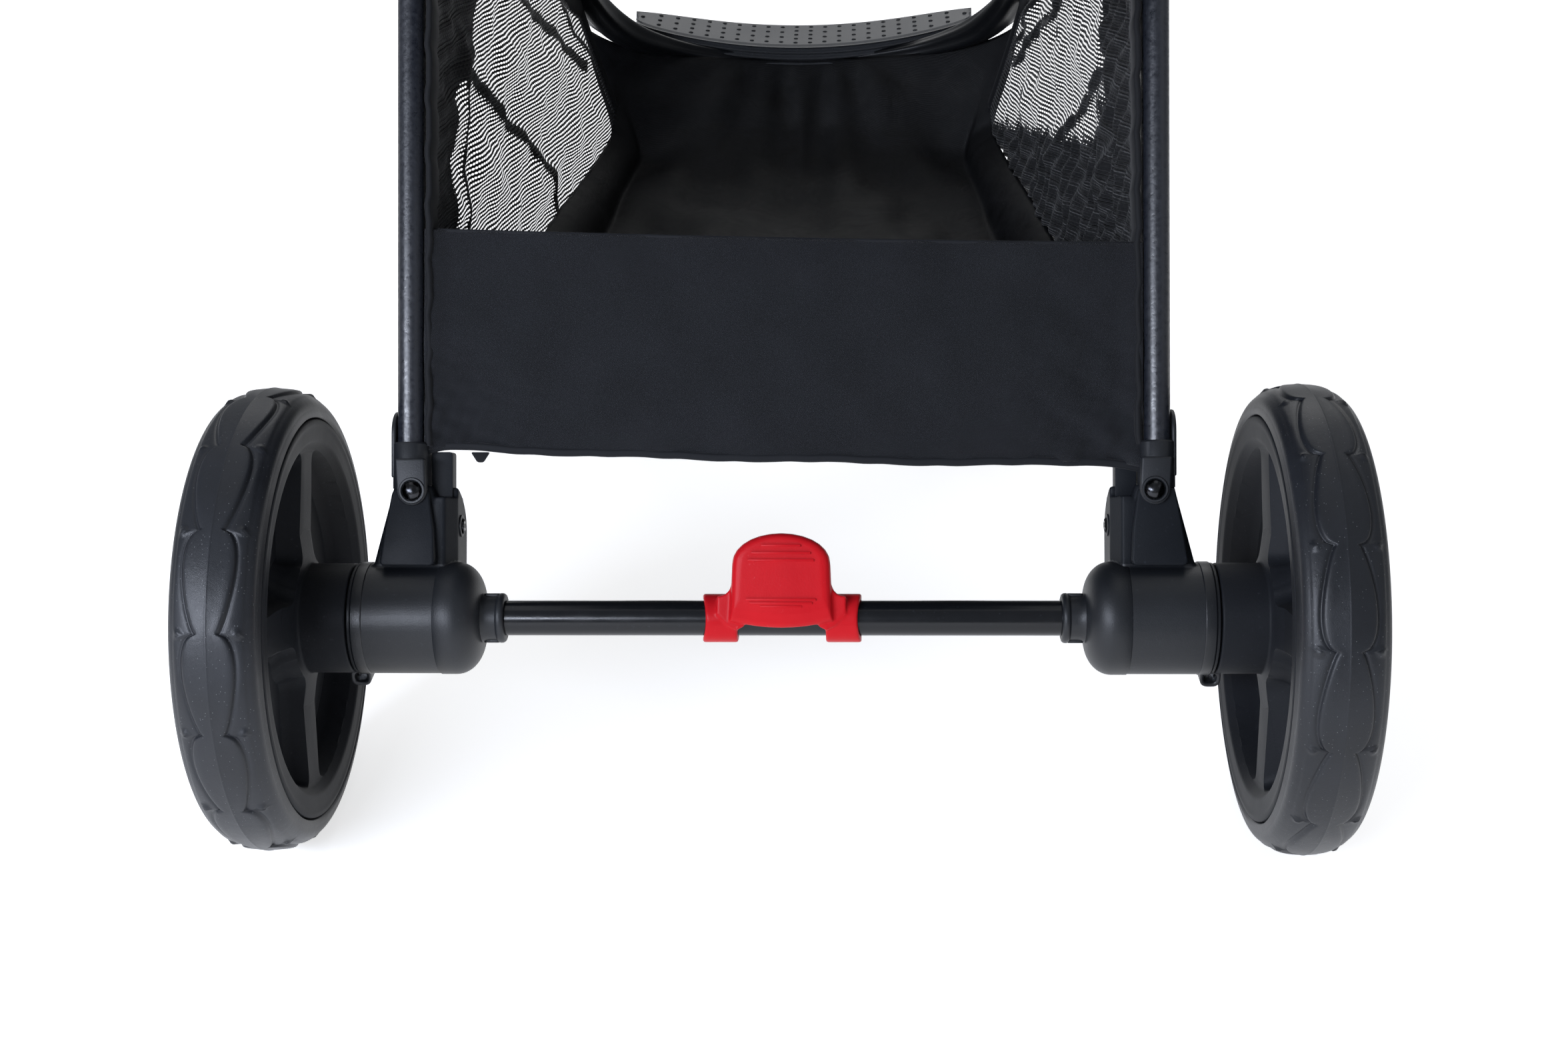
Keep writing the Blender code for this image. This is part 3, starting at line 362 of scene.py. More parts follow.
def grip_foam(name):
    """Closed-cell foam: matte black with open pores, painted darker in their hollows as shade."""
    colour = (0.013, 0.013, 0.014)
    look = Look(name, colour, 0.82, Specular_IOR_Level=0.25, Sheen_Weight=0.3)
    pores = look.spots(950.0)
    # Painted shade: the colour is darker in the pore hollows and lighter on the rims between them.
    look.set("Base Color", look.shades(colour, pores, 0.1, 0.5, 0.5, 1.6))
    look.bump(pores, 0.0004)
    return look.material


def brushed_cotton(name, colour=(0.235, 0.245, 0.265)):
    """The mattress cover: heathered grey cotton with a soft nap."""
    look = Look(name, colour, 0.9, Sheen_Weight=0.5, Sheen_Roughness=0.6, Specular_IOR_Level=0.2)
    x, y, _ = look.across(look.place)
    turn = 2 * math.pi / 0.0016
    weave = look.times(look.wave("SINE", x, turn), look.wave("SINE", y, turn))
    heather = look.noise(900.0, 3.0, distortion=0.6)
    look.set("Base Color", look.shades(colour, heather, 0.35, 0.65, 0.66, 1.35))
    fine = look.bump(weave, 0.00022)
    look.bump(heather, 0.0004, fine)
    return look.material


PLASTIC = moulded_plastic("moulded_plastic")
ARM_PLASTIC = moulded_plastic("arm_plastic", (0.0085, 0.0098, 0.0122), 0.42, 1500.0, 0.09)
RIM_PLASTIC = moulded_plastic("rim_plastic", (0.0098, 0.0108, 0.0132), 0.50, 1100.0, 0.10)
PLASTIC_SMOOTH = moulded_plastic("smooth_plastic", (0.0075, 0.0084, 0.0102), 0.34, 2400.0)
TRAY_PLASTIC = moulded_plastic("footrest_plastic", (0.050, 0.053, 0.058), 0.40, 1500.0)
LEG_PAINT = textured_paint("leg_paint")
BAR_PAINT = satin_paint("bar_paint")
TYRE = tyre_foam("tyre_foam")
FABRIC = polyester("basket_polyester")
CABIN_CLOTH = polyester("cabin_polyester", (0.0095, 0.0104, 0.0130), 0.0011, 2.8)
BINDING = polyester("binding_tape", (0.0085, 0.0090, 0.0105), 0.0006, 2.0)
LINING = nylon("lining_nylon")
LINING_EDGE = moulded_plastic("rolled_edge_cloth", (0.0060, 0.0066, 0.0080), 0.36, 500.0, 0.30)
NET = netting("basket_net")
STEEL = steel("steel")
RIVET = steel("dark_rivet", (0.045, 0.046, 0.050), 0.16)
RED = red_plastic("pedal_red")
FOAM = grip_foam("grip_foam")
COTTON = brushed_cotton("mattress_cotton")


# ---------------------------------------------------------------- mesh tools


def new_object(name, points, faces):
    mesh = bpy.data.meshes.new(name)
    mesh.from_pydata([tuple(p) for p in points], [], [tuple(map(int, f)) for f in faces])
    mesh.update()
    obj = bpy.data.objects.new(name, mesh)
    bpy.context.scene.collection.objects.link(obj)
    return obj


def edit_mesh(obj, change):
    """Opens the object's mesh, makes the change, and writes it back."""
    builder = bmesh.new()
    builder.from_mesh(obj.data)
    change(builder)
    builder.to_mesh(obj.data)
    builder.free()
    return obj


def face_outwards(obj):
    return edit_mesh(obj, lambda mesh: bmesh.ops.recalc_face_normals(mesh, faces=mesh.faces))


def skin(name, grid, wrap_rows=False, wrap_columns=False, capped=False):
    """A surface over rows and columns of points, with its flat lengths as UVs in metres."""
    grid = np.asarray(grid, float)
    rows, columns = grid.shape[:2]
    faces = []
    for i in range(rows if wrap_rows else rows - 1):
        for j in range(columns if wrap_columns else columns - 1):
            k, m = (i + 1) % rows, (j + 1) % columns
            faces.append((i * columns + j, i * columns + m, k * columns + m, k * columns + j))
    if capped:
        faces.append(tuple(range(columns))[::-1])
        faces.append(tuple((rows - 1) * columns + j for j in range(columns)))
    obj = new_object(name, grid.reshape(-1, 3), faces)
    if not (wrap_rows or wrap_columns or capped):
        add_flat_lengths(obj, grid)
    return obj


def corner_points(obj):
    """Which point each face corner stands on."""
    index = np.zeros(len(obj.data.loops), int)
    obj.data.loops.foreach_get("vertex_index", index)
    return index


def lay_flat(obj, axes):
    """UVs in metres taken straight from two coordinates, such as "xy"."""
    layer = obj.data.uv_layers["cloth"]
    for corner, point in enumerate(corner_points(obj)):
        layer.data[corner].uv = getattr(obj.data.vertices[point].co, axes)


def add_flat_lengths(obj, grid):
    """UVs in metres: mean length down the columns, and each row's length from its middle."""
    rows, columns = grid.shape[:2]
    steps_v = np.linalg.norm(np.diff(grid, axis=0), axis=2).mean(axis=1)
    steps_u = np.linalg.norm(np.diff(grid, axis=1), axis=2)
    v = np.concatenate([[0.0], np.cumsum(steps_v)])
    u = np.concatenate([np.zeros((rows, 1)), np.cumsum(steps_u, axis=1)], axis=1)
    u -= u[:, columns // 2][:, None]
    layer = obj.data.uv_layers.new(name="cloth")
    index = corner_points(obj)
    flat = np.stack([u.ravel()[index], np.repeat(v, columns)[index]], axis=1)
    layer.data.foreach_set("uv", flat.astype(np.float32).ravel())


def evaluated(obj):
    """A copy of an object's mesh with its modifiers applied."""
    bpy.context.view_layer.update()
    graph = bpy.context.evaluated_depsgraph_get()
    return bpy.data.meshes.new_from_object(obj.evaluated_get(graph))


def bake_modifiers(obj):
    mesh = evaluated(obj)
    obj.modifiers.clear()
    obj.data = mesh
    return obj


def bevel(obj, width, segments=3, angle=32):
    modifier = obj.modifiers.new("bevel", "BEVEL")
    modifier.width = width
    modifier.segments = segments
    modifier.limit_method = "ANGLE"
    modifier.angle_limit = math.radians(angle)
    return bake_modifiers(obj)


def remove(obj):
    bpy.data.objects.remove(obj, do_unlink=True)


def cut(obj, cutters):
    for cutter in cutters:
        face_outwards(cutter)
        modifier = obj.modifiers.new("cut", "BOOLEAN")
        modifier.operation = "DIFFERENCE"
        modifier.solver = "EXACT"
        modifier.object = cutter
        bake_modifiers(obj)
        remove(cutter)

    def merge_flat_faces(mesh):
        bmesh.ops.dissolve_limit(
            mesh, angle_limit=math.radians(0.6), verts=mesh.verts, edges=mesh.edges
        )

    return edit_mesh(obj, merge_flat_faces)


def joined(name, parts):
    """One object from several, keeping their materials."""
    parts = list(parts)
    with bpy.context.temp_override(
        active_object=parts[0], selected_editable_objects=parts, selected_objects=parts
    ):
        bpy.ops.object.join()
    parts[0].name = name
    parts[0].data.name = name
    return parts[0]


def fused(name, parts, voxel=0.0008, smoothing=5):
    """Several solids melted into one moulding, with soft fillets where they meet."""
    obj = joined(name, [face_outwards(part) for part in parts])
    remesh = obj.modifiers.new("remesh", "REMESH")
    remesh.mode = "VOXEL"
    remesh.voxel_size = voxel
    smooth = obj.modifiers.new("smooth", "SMOOTH")
    smooth.factor = 0.5
    smooth.iterations = smoothing
    return bake_modifiers(obj)


def dress(obj, body, material=None, replaces=(), sharp=40):
    """Shades a piece, gives it its material, and puts it on its body."""
    if material is not None:
        obj.data.materials.clear()
        obj.data.materials.append(material)
    obj.data.shade_smooth()
    if sharp:
        obj.data.set_sharp_from_angle(angle=math.radians(sharp))
    if replaces:
        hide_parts(*replaces)
    if body:
        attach(obj, body)
    return obj


def rounded(points, radius, steps=4, closed=True):
    """The outline with each corner replaced by a short curve."""
    points = [Vector(p) for p in points]
    count = len(points)
    outline = []
    for i, corner in enumerate(points):
        if not closed and i in (0, count - 1):
            outline.append(corner)
            continue
        before, after = points[i - 1] - corner, points[(i + 1) % count] - corner
        reach = min(radius, before.length / 2.05, after.length / 2.05)
        start = corner + before.normalized() * reach
        end = corner + after.normalized() * reach
        for step in range(steps + 1):
            t = step / steps
            outline.append(start * (1 - t) ** 2 + corner * (2 * t * (1 - t)) + end * t**2)
    return outline


def block(half, low, high, top_half=None):
    """A four-cornered outline, even about its middle; its other end may be narrower."""
    top = half if top_half is None else top_half
    return [(-half, low), (half, low), (top, high), (-top, high)]


def arc(a, b, radius, start, end, count):
    """Points of an arc about (a, b)."""
    turns = np.linspace(start, end, count)
    return [(a + radius * math.cos(turn), b + radius * math.sin(turn)) for turn in turns]


def lathe(name, profile, centre, side=1, segments=64, soft=0.0, closed=False, axis="X"):
    """A profile of (place along the axis, radius) turned about an axis through the centre."""
    if soft:
        profile = rounded(profile, soft, 3, closed)
    rows = []
    for place, radius in profile:
        row = []
        for step in range(segments):
            turn = 2 * math.pi * step / segments
            a, b = radius * math.cos(turn), radius * math.sin(turn)
            offset = (side * place, a, b) if axis == "X" else (a, b, side * place)
            row.append(Vector(centre) + Vector(offset))
        rows.append(row)
    obj = skin(name, rows, wrap_rows=closed, wrap_columns=True, capped=not closed)
    return face_outwards(obj)


def slab(name, outline, low, high, place, width=0.0, segments=3):
    """A plate: an outline of (a, b) between two depths, put where place(a, b, depth) says."""
    rows = [[place(a, b, depth) for a, b in outline] for depth in (low, high)]
    obj = face_outwards(skin(name, rows, wrap_columns=True, capped=True))
    return bevel(obj, width, segments) if width else obj


def smooth_line(points, steps):
    """A Catmull-Rom curve through the points."""
    points = [Vector(p) for p in points]
    ends = [2 * points[0] - points[1], *points, 2 * points[-1] - points[-2]]
    line = []
    for i in range(1, len(ends) - 2):
        a, b, c, d = ends[i - 1 : i + 3]
        for step in range(steps):
            t = step / steps
            cubic = (3 * b - a - 3 * c + d) * t**3
            line.append(0.5 * (2 * b + (c - a) * t + (2 * a - 5 * b + 4 * c - d) * t**2 + cubic))
    return line + [points[-1]]


def oval_section(width, depth, points=24):
    """A flat-sided oval as (across, deep) offsets."""
    section = []
    straight = (depth - width) / 2
    for step in range(points):
        turn = 2 * math.pi * (step + 0.5) / points
        shift = math.copysign(straight, math.sin(turn))
        section.append((width / 2 * math.cos(turn), width / 2 * math.sin(turn) + shift))
    return section


def sweep(name, line, section, deep, closed=False):
    """A section carried along a line, with its deep side kept towards a direction."""
    rows = []
    count = len(line)
    for i, point in enumerate(line):
        before = line[i - 1] if closed or i else line[0]
        after = line[(i + 1) % count] if closed else line[min(i + 1, count - 1)]
        tangent = (after - before).normalized()
        normal = (deep - tangent * deep.dot(tangent)).normalized()
        across = tangent.cross(normal)
        rows.append([point + across * a + normal * b for a, b in section])
    obj = skin(name, rows, wrap_rows=closed, wrap_columns=True, capped=not closed)
    return face_outwards(obj)


def cord_section(radius, points=10):
    return oval_section(2 * radius, 2 * radius, points)


def ripples(u, v, seed, size, count=9):
    """Soft creases, from -1 to 1: a sum of waves in directions fixed by the seed."""
    random = np.random.default_rng(seed)
    total = np.zeros(np.broadcast(u, v).shape)
    for _ in range(count):
        angle, phase = random.uniform(0, math.pi), random.uniform(0, 2 * math.pi)
        length = size * random.uniform(0.5, 1.6)
        along = u * math.cos(angle) + v * math.sin(angle)
        bend = 0.35 * np.sin(2 * math.pi * (u * math.sin(angle) - v * math.cos(angle)) / (3 * size))
        total += np.sin(2 * math.pi * along / length + phase + 2 * bend)
    return total / count**0.5 / 1.4


def smoothstep(value):
    value = np.clip(value, 0, 1)
    return value * value * (3 - 2 * value)


# ---------------------------------------------------------------- camera, light and floor


def studio():
    camera = bpy.data.objects.new("camera", bpy.data.cameras.new("camera"))
    bpy.context.scene.collection.objects.link(camera)
    camera.data.sensor_width = 36.0
    camera.data.lens = 46.0
    down, round_it, roll = math.radians(25.0), math.radians(2.3), math.radians(1.05)
    to_axle = down + math.radians(2.73)  # the axle lies this far below the middle of the view
    distance = 1.0824
    sight = Vector(
        (
            -math.sin(round_it) * math.cos(to_axle),
            math.cos(round_it) * math.cos(to_axle),
            -math.sin(to_axle),
        )
    )
    camera.location = AXLE - sight * distance + Vector((0.0019, 0, 0))
    turn = Matrix.Rotation(round_it, 4, "Z") @ Matrix.Rotation(math.pi / 2 - down, 4, "X")
    camera.rotation_euler = (turn @ Matrix.Rotation(-roll, 4, "Z")).to_euler()
    bpy.context.scene.camera = camera

    world = bpy.data.worlds.new("studio")
    world.use_nodes = True
    world.node_tree.nodes["Background"].inputs[0].default_value = (0.90, 0.94, 1.0, 1.0)
    world.node_tree.nodes["Background"].inputs[1].default_value = 0.30
    bpy.context.scene.world = world
    bpy.context.scene.view_settings.view_transform = "Standard"
    lamps = (
        ("key", (-0.80, -1.45, 0.76), (1.10, 0.26), 26.0, (0.80, 0.86, 1.0)),
        ("fill", (2.3, -1.6, 1.9), (1.6, 1.6), 2.5, (0.95, 0.97, 1.0)),
        ("back", (0.2, 2.9, 2.3), (2.8, 1.6), 22.0, (1.0, 1.0, 1.0)),
        ("top", (0.0, 0.6, 3.4), (3.4, 3.4), 22.0, (1.0, 1.0, 1.0)),
    )
    for name, place, size, power, colour in lamps:
        light = bpy.data.lights.new(name, "AREA")
        light.shape = "RECTANGLE"
        light.size, light.size_y = size
        light.energy = power
        light.color = colour
        lamp = bpy.data.objects.new(name, light)
        lamp.location = place
        aim = Vector((0, -0.25, 0.15)) - Vector(place)
        lamp.rotation_euler = aim.to_track_quat("-Z", "Y").to_euler()
        bpy.context.scene.collection.objects.link(lamp)

    reach = 14.0
    corners = [(-reach, -reach, 0), (reach, -reach, 0), (reach, reach, 0), (-reach, reach, 0)]
    floor = new_object("floor", corners, [(0, 1, 2, 3)])
    look = Look("floor", (0.86, 0.86, 0.865), 0.7, Specular_IOR_Level=0.15)
    mottle = look.noise(1.3, 3.0)
    look.set("Base Color", look.mix(mottle, (0.85, 0.85, 0.855), (0.87, 0.87, 0.875)))
    look.set("Emission Color", (1.0, 1.0, 1.0, 1.0))
    look.set("Emission Strength", 0.66)
    floor.data.materials.append(look.material)


# ---------------------------------------------------------------- rear wheels


def tyre_profile(t, radius, half, bed, scale):
    """A point of the tyre's section, t from -1 at its inner edge to 1 at its outer edge."""
    turn = math.pi / 2 * (1 - t)
    shoulder = bed + 0.0045 * scale
    height = np.sin(np.clip(turn, 0, math.pi)) ** 0.8
    return half * np.cos(turn), shoulder + (radius - shoulder) * height


def lens_half_width(phase):
    """Half the width of the raised band round the tread, from one pinch to the next."""
    return 0.0060 + 0.0078 * np.sin(math.pi * np.clip(phase, 0, 1) ** 0.62) ** 0.72


def tread_relief(places, half, pinch):
    """How far the tread stands out at each distance from its crown line, at full size."""
    depth = -0.0016 * np.exp(-(((places - half - 0.0004) / 0.0012) ** 2))
    depth -= 0.0010 * smoothstep((places - half) / 0.0026)
    depth -= 0.0004 * smoothstep((places - 0.0175) / 0.0020)
    depth += 0.00026 * np.exp(-((places / 0.0005) ** 2))
    dot = np.hypot(places - 0.0150, pinch)
    return depth + 0.0013 * np.exp(-((dot / 0.0021) ** 4))


def moulded_tyre(name, centre, side, radius, half, bed, repeats, scale, steps=40):
    """A foam tyre whose tread is a chain of lens shapes between pinches, all round."""
    near = np.array([0.0004, 0.0008, 0.0012, 0.0017, 0.0024, 0.0034, 0.0048])
    # Arc length from the crown for each place on the section, at full size.
    fine = np.linspace(0, 1, 600)
    x, r = tyre_profile(fine, radius, half, bed, scale)
    arc = np.concatenate([[0], np.cumsum(np.hypot(np.diff(x), np.diff(r)))]) / scale
    rows = []
    for step in range(repeats * steps):
        phase = (step % steps) / steps
        phase = 1 - phase if side > 0 else phase
        wide = float(lens_half_width(phase))
        inside = wide - near[near < wide - 0.0015][::-1]
        inside = np.interp(np.linspace(0, 1, 7), np.linspace(0, 1, len(inside)), inside)
        rest = np.linspace(wide + near[-1], arc[-1], 19)[1:]
        places = np.concatenate([[0.0, 0.0004, 0.0010], inside, [wide], wide + near, rest])
        pinch = min(phase, 1 - phase) * 2 * math.pi * radius / repeats / scale
        depth = tread_relief(places, wide, pinch) * scale
        xs, rs = tyre_profile(np.interp(places, arc, fine), radius, half, bed, scale)
        normal = np.arctan2(np.gradient(xs), -np.gradient(rs))
        rs = rs + depth * np.sin(normal)
        xs = xs + depth * np.cos(normal)
        lip = np.array([half * 0.985, half * 0.90])
        xs = np.concatenate([-lip[::-1], -xs[::-1], xs[1:], lip])
        ends = [bed + 0.0012, bed]
        rs = np.concatenate([ends[::-1], rs[::-1], rs[1:], ends])
        angle = math.pi + (
            RIGHT_TREAD_TURN if side > 0 else 0.0
        ) + 2 * math.pi * step / (repeats * steps)
        across = centre.y + rs * math.cos(angle), centre.z + rs * math.sin(angle)
        rows.append(np.stack([centre.x + xs, *across], axis=1))
    grid = np.array(rows)
    tyre = skin(name, np.concatenate([grid, grid[:, :1]], axis=1), wrap_rows=True)
    return face_outwards(tyre)


def rear_tyre(word, side):
    centre = Vector((side * WHEEL_X, AXLE.y, AXLE.z))
    tyre = moulded_tyre(f"tyre_{word}", centre, side, WHEEL_R, TYRE_HALF, 0.1085, 15, 1.0)
    dress(tyre, f"rear_wheel_{word}", TYRE, [f"rear_tyre_{word}"], sharp=None)


def pocket_outline(inner, outer, half_spoke, quarter, radius, steps=10):
    """The opening between two of four spokes, with rounded corners, about the wheel's centre."""
    points = []
    for size, order in ((outer, range(steps + 1)), (inner, range(steps, -1, -1))):
        edge = math.asin(half_spoke / size)
        for step in order:
            turn = math.pi / 2 * quarter + edge + (math.pi / 2 - 2 * edge) * step / steps
            points.append(Vector((size * math.cos(turn), size * math.sin(turn))))
    corners = (0, steps, steps + 1, 2 * steps + 1)
    outline = []
    count = len(points)
    for i, point in enumerate(points):
        if i not in corners:
            if all((point - points[c]).length > radius * 0.9 for c in corners):
                outline.append(point)
            continue
        before, after = points[i - 1] - point, points[(i + 1) % count] - point
        start = point + before.normalized() * radius
        end = point + after.normalized() * radius
        for step in range(7):
            t = step / 6
            outline.append(start * (1 - t) ** 2 + point * (2 * t * (1 - t)) + end * t**2)
    return outline


def pocket(centre, outline, rings):
    """A cutter with drafted walls: rings of (X place, how far the walls have drawn in)."""
    middle_of = sum(outline, Vector((0, 0))) / len(outline)
    rows = []
    for x, draw in rings:
        row = []
        for point in outline:
            inwards = (middle_of - point).normalized() * draw
            row.append((x, centre.y + point.x + inwards.x, centre.z + point.y + inwards.y))
        rows.append(row)
    return skin("pocket", rows, wrap_columns=True, capped=True)


def lock_holes(word, side):
    """The ring of holes in the collar that the brake's lock pin goes into."""
    low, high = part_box(f"brake_pin_{word}")
    pin = (low + high) / 2
    reach = math.hypot(pin.y - AXLE.y, pin.z - AXLE.z)
    lean = math.atan2(pin.z - AXLE.z, pin.y - AXLE.y)
    radius = (high.z - low.z) / 2 + 0.0006
    end = max(abs(low.x), abs(high.x)) + 0.0080
    holes = []
    for step in range(LOCK_HOLES):
        turn = lean + 2 * math.pi / LOCK_HOLES * step
        place = Vector((0, AXLE.y + reach * math.cos(turn), AXLE.z + reach * math.sin(turn)))
        holes.append(lathe("hole", [(BARREL_OUT - 0.002, radius), (end, radius)], place, side, 16))
    return holes


def rear_rim(word, side):
    centre = Vector((side * WHEEL_X, AXLE.y, AXLE.z))
    bed, face = 0.1082, TYRE_HALF - 0.0008
    collar = BARREL_OUT + 0.0009 - WHEEL_X
    profile = [
        (-face, bed),
        (-face - 0.0006, bed - 0.0022),
        (-face, bed - 0.0050),
        (-face + 0.0004, 0.0960),
        (-face + 0.0050, 0.0915),
        (-face + 0.0070, 0.0480),
        (-face + 0.0050, 0.0330),
        (-face + 0.0040, 0.0297),
        (collar, 0.0297),
        (collar, 0.0070),
        (0.0155, 0.0070),
        (0.0155, 0.0275),
        (face - 0.0020, 0.0300),
        (face - 0.0002, 0.0370),
        (face - 0.0012, 0.0960),
        (face, 0.1020),
        (face, bed),
    ]
    rim = lathe(f"rim_{word}", profile, centre, side, 96, soft=0.0012, closed=True)
    cutters = []
    for quarter in range(4):
        outline = pocket_outline(0.0318, 0.0935, 0.0088, quarter - SPOKE_TURN, 0.0080)
        mouth, floor = centre.x - side * 0.0350, centre.x - side * 0.0040
        lip = centre.x - side * (face - 0.0004)
        cutters.append(
            pocket(
                centre, outline,
                [(mouth, 0), (lip, 0.0002), (floor - side * 0.005, 0.0046), (floor, 0.0092)],
            )
        )
        outline = pocket_outline(0.0420, 0.0900, 0.0125, quarter - SPOKE_TURN, 0.0085)
        mouth, floor = centre.x + side * 0.0350, centre.x + side * 0.0100
        cutters.append(
            pocket(centre, outline, [(mouth, 0), (floor + side * 0.003, 0.0018), (floor, 0.0045)])
        )
    cut(rim, cutters)
    bevel(rim, 0.0011, 3, 38)
    cut(rim, [joined("lock_holes", lock_holes(word, side))])
    dress(rim, f"rear_wheel_{word}", RIM_PLASTIC, [f"rear_rim_{word}"], sharp=50)
    cap = lathe(
        f"hub_cap_{word}",
        [
            (0.0158, 0.0262), (0.0195, 0.0262), (0.0222, 0.0225), (0.0226, 0.0130),
            (0.0218, 0.0120), (0.0222, 0.0010),
        ],
        centre,
        side,
        48,
        soft=0.0010,
    )
    dress(cap, f"rear_wheel_{word}", PLASTIC_SMOOTH, [f"wheel_cap_{word}"])


def rear_wheels():
    for word, side in SIDES:
        rear_tyre(word, side)
        rear_rim(word, side)
        carry_over(f"wheel_shaft_{word}", STEEL)


def carry_over(node, material):
    """Gives a CAD node that stays its finished material."""
    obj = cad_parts[node]
    obj.data.materials.clear()
    obj.data.materials.append(material)


# ---------------------------------------------------------------- axle housings and brackets


def axle_housing(word, side):
    """Barrel, arm and ear in one moulding, with a seamed ring at the wheel end."""
    ring_in = BARREL_OUT - 0.0080
    barrel = lathe(
        "barrel",
        [
            (BARREL_IN - 0.0012, 0.0240), (BARREL_IN - 0.0012, BARREL_R),
            (BARREL_OUT - 0.0010, BARREL_R), (BARREL_OUT - 0.0010, 0.0240),
        ],
        AXLE,
        side,
        72,
        soft=0.0008,
    )

    def on_arm(a, b, depth):
        return on_leg(side * (LEG_X + a), depth, b)

    arm = [
        (-0.0155, 0.0180), (0.0212, 0.0180), (0.0198, 0.0290), (0.0148, 0.0480), (0.0108, 0.0630),
        (0.0086, 0.0722), (-0.0110, 0.0722), (-0.0152, 0.0600),
    ]
    arm = slab("arm", arm, -0.0118, 0.0135, on_arm, 0.0025)
    edge_line = []
    radius = BARREL_R + 0.0008
    for step in range(9):
        turn = math.radians(-4 + 56 * step / 8)
        edge_line.append((radius * math.sin(turn), radius * math.cos(turn)))
    for step in range(10):
        turn = math.pi / 2 * step / 12
        edge_line.append((-0.0165 + 0.0415 * math.cos(turn), 0.0470 + 0.0262 * math.sin(turn)))

    def on_ear(a, b, depth):
        return on_leg(side * (LEG_X - depth), a, b)

    ear = slab("ear", edge_line, 0.0146, EAR_FACE, on_ear, 0.0012)
    neck = slab("neck", block(0.012, 0.032, 0.062), 0.0090, 0.0160, on_ear)
    edge = [
        (-0.0188, -0.0118), (-0.0242, -0.0010), (-0.0242, 0.0135), (-0.0140, 0.0135),
        (-0.0140, -0.0118),
    ]
    edge = slab("edge", edge, 0.0200, 0.0655, lambda a, b, d: on_leg(side * (LEG_X + a), b, d))
    moulding = fused("moulding", [barrel, arm, ear, neck, edge], 0.0008, 5)
    ring = lathe(
        "ring",
        [
            (ring_in, 0.0240), (ring_in, BARREL_R + 0.0002), (ring_in + 0.0004, BARREL_R + 0.0005),
            (BARREL_OUT - 0.0022, BARREL_R + 0.0005), (BARREL_OUT - 0.0018, BARREL_R - 0.0002),
            (BARREL_OUT, BARREL_R - 0.0002), (BARREL_OUT, 0.0120),
        ],
        AXLE,
        side,
        72,
        soft=0.0005,
    )
    moulding.data.materials.append(PLASTIC)
    moulding.data.materials.append(ARM_PLASTIC)
    for face in moulding.data.polygons:
        face.material_index = int((face.center - AXLE).yz.length > BARREL_R + 0.0012)
    ring.data.materials.append(PLASTIC_SMOOTH)
    housing = joined(f"housing_{word}", [moulding, ring])
    dress(housing, "rear_frame", None, [f"axle_housing_{word}"])


def housing_cap(word, side):
    """The bell that closes the barrel, its neck, and the two clips that hold it."""
    rim = BARREL_R + 0.0004
    profile = [
        (BARREL_IN + 0.0006, 0.0255), (BARREL_IN + 0.0006, rim - 0.0004), (BARREL_IN + 0.0002, rim),
    ]
    shoulder, slim = 0.1760, 0.0134
    for step in range(15):
        turn = math.pi / 2 * step / 14
        profile.append((shoulder - 0.0140 * math.sin(turn), slim + (rim - slim) * math.cos(turn)))
    profile += [
        (0.1608, 0.0127), (0.1592, 0.0123), (0.1570, 0.0122), (0.1542, 0.0122), (0.1536, 0.0130),
        (0.1524, 0.0135), (0.1510, 0.0134), (0.1500, 0.0127), (0.1496, 0.0114),
        (0.1498, BAR_R + 0.0004),
    ]
    bell = face_outwards(lathe("bell", profile, AXLE, side, 72))
    parts = [bell]
    for up in (-1, 1):
        outline = rounded(block(0.0042, -0.0030, 0.0030), 0.0014, 3)
        parts.append(
            slab(
                "clip", outline, 0.0110, 0.0133,
                lambda a, b, d, u=up: on_leg(side * (0.1572 + a), b, u * d), 0.0006, 2,
            )
        )
    bell = joined(f"bell_{word}", parts)
    dress(bell, "rear_frame", PLASTIC, [f"housing_cap_{word}"], sharp=45)


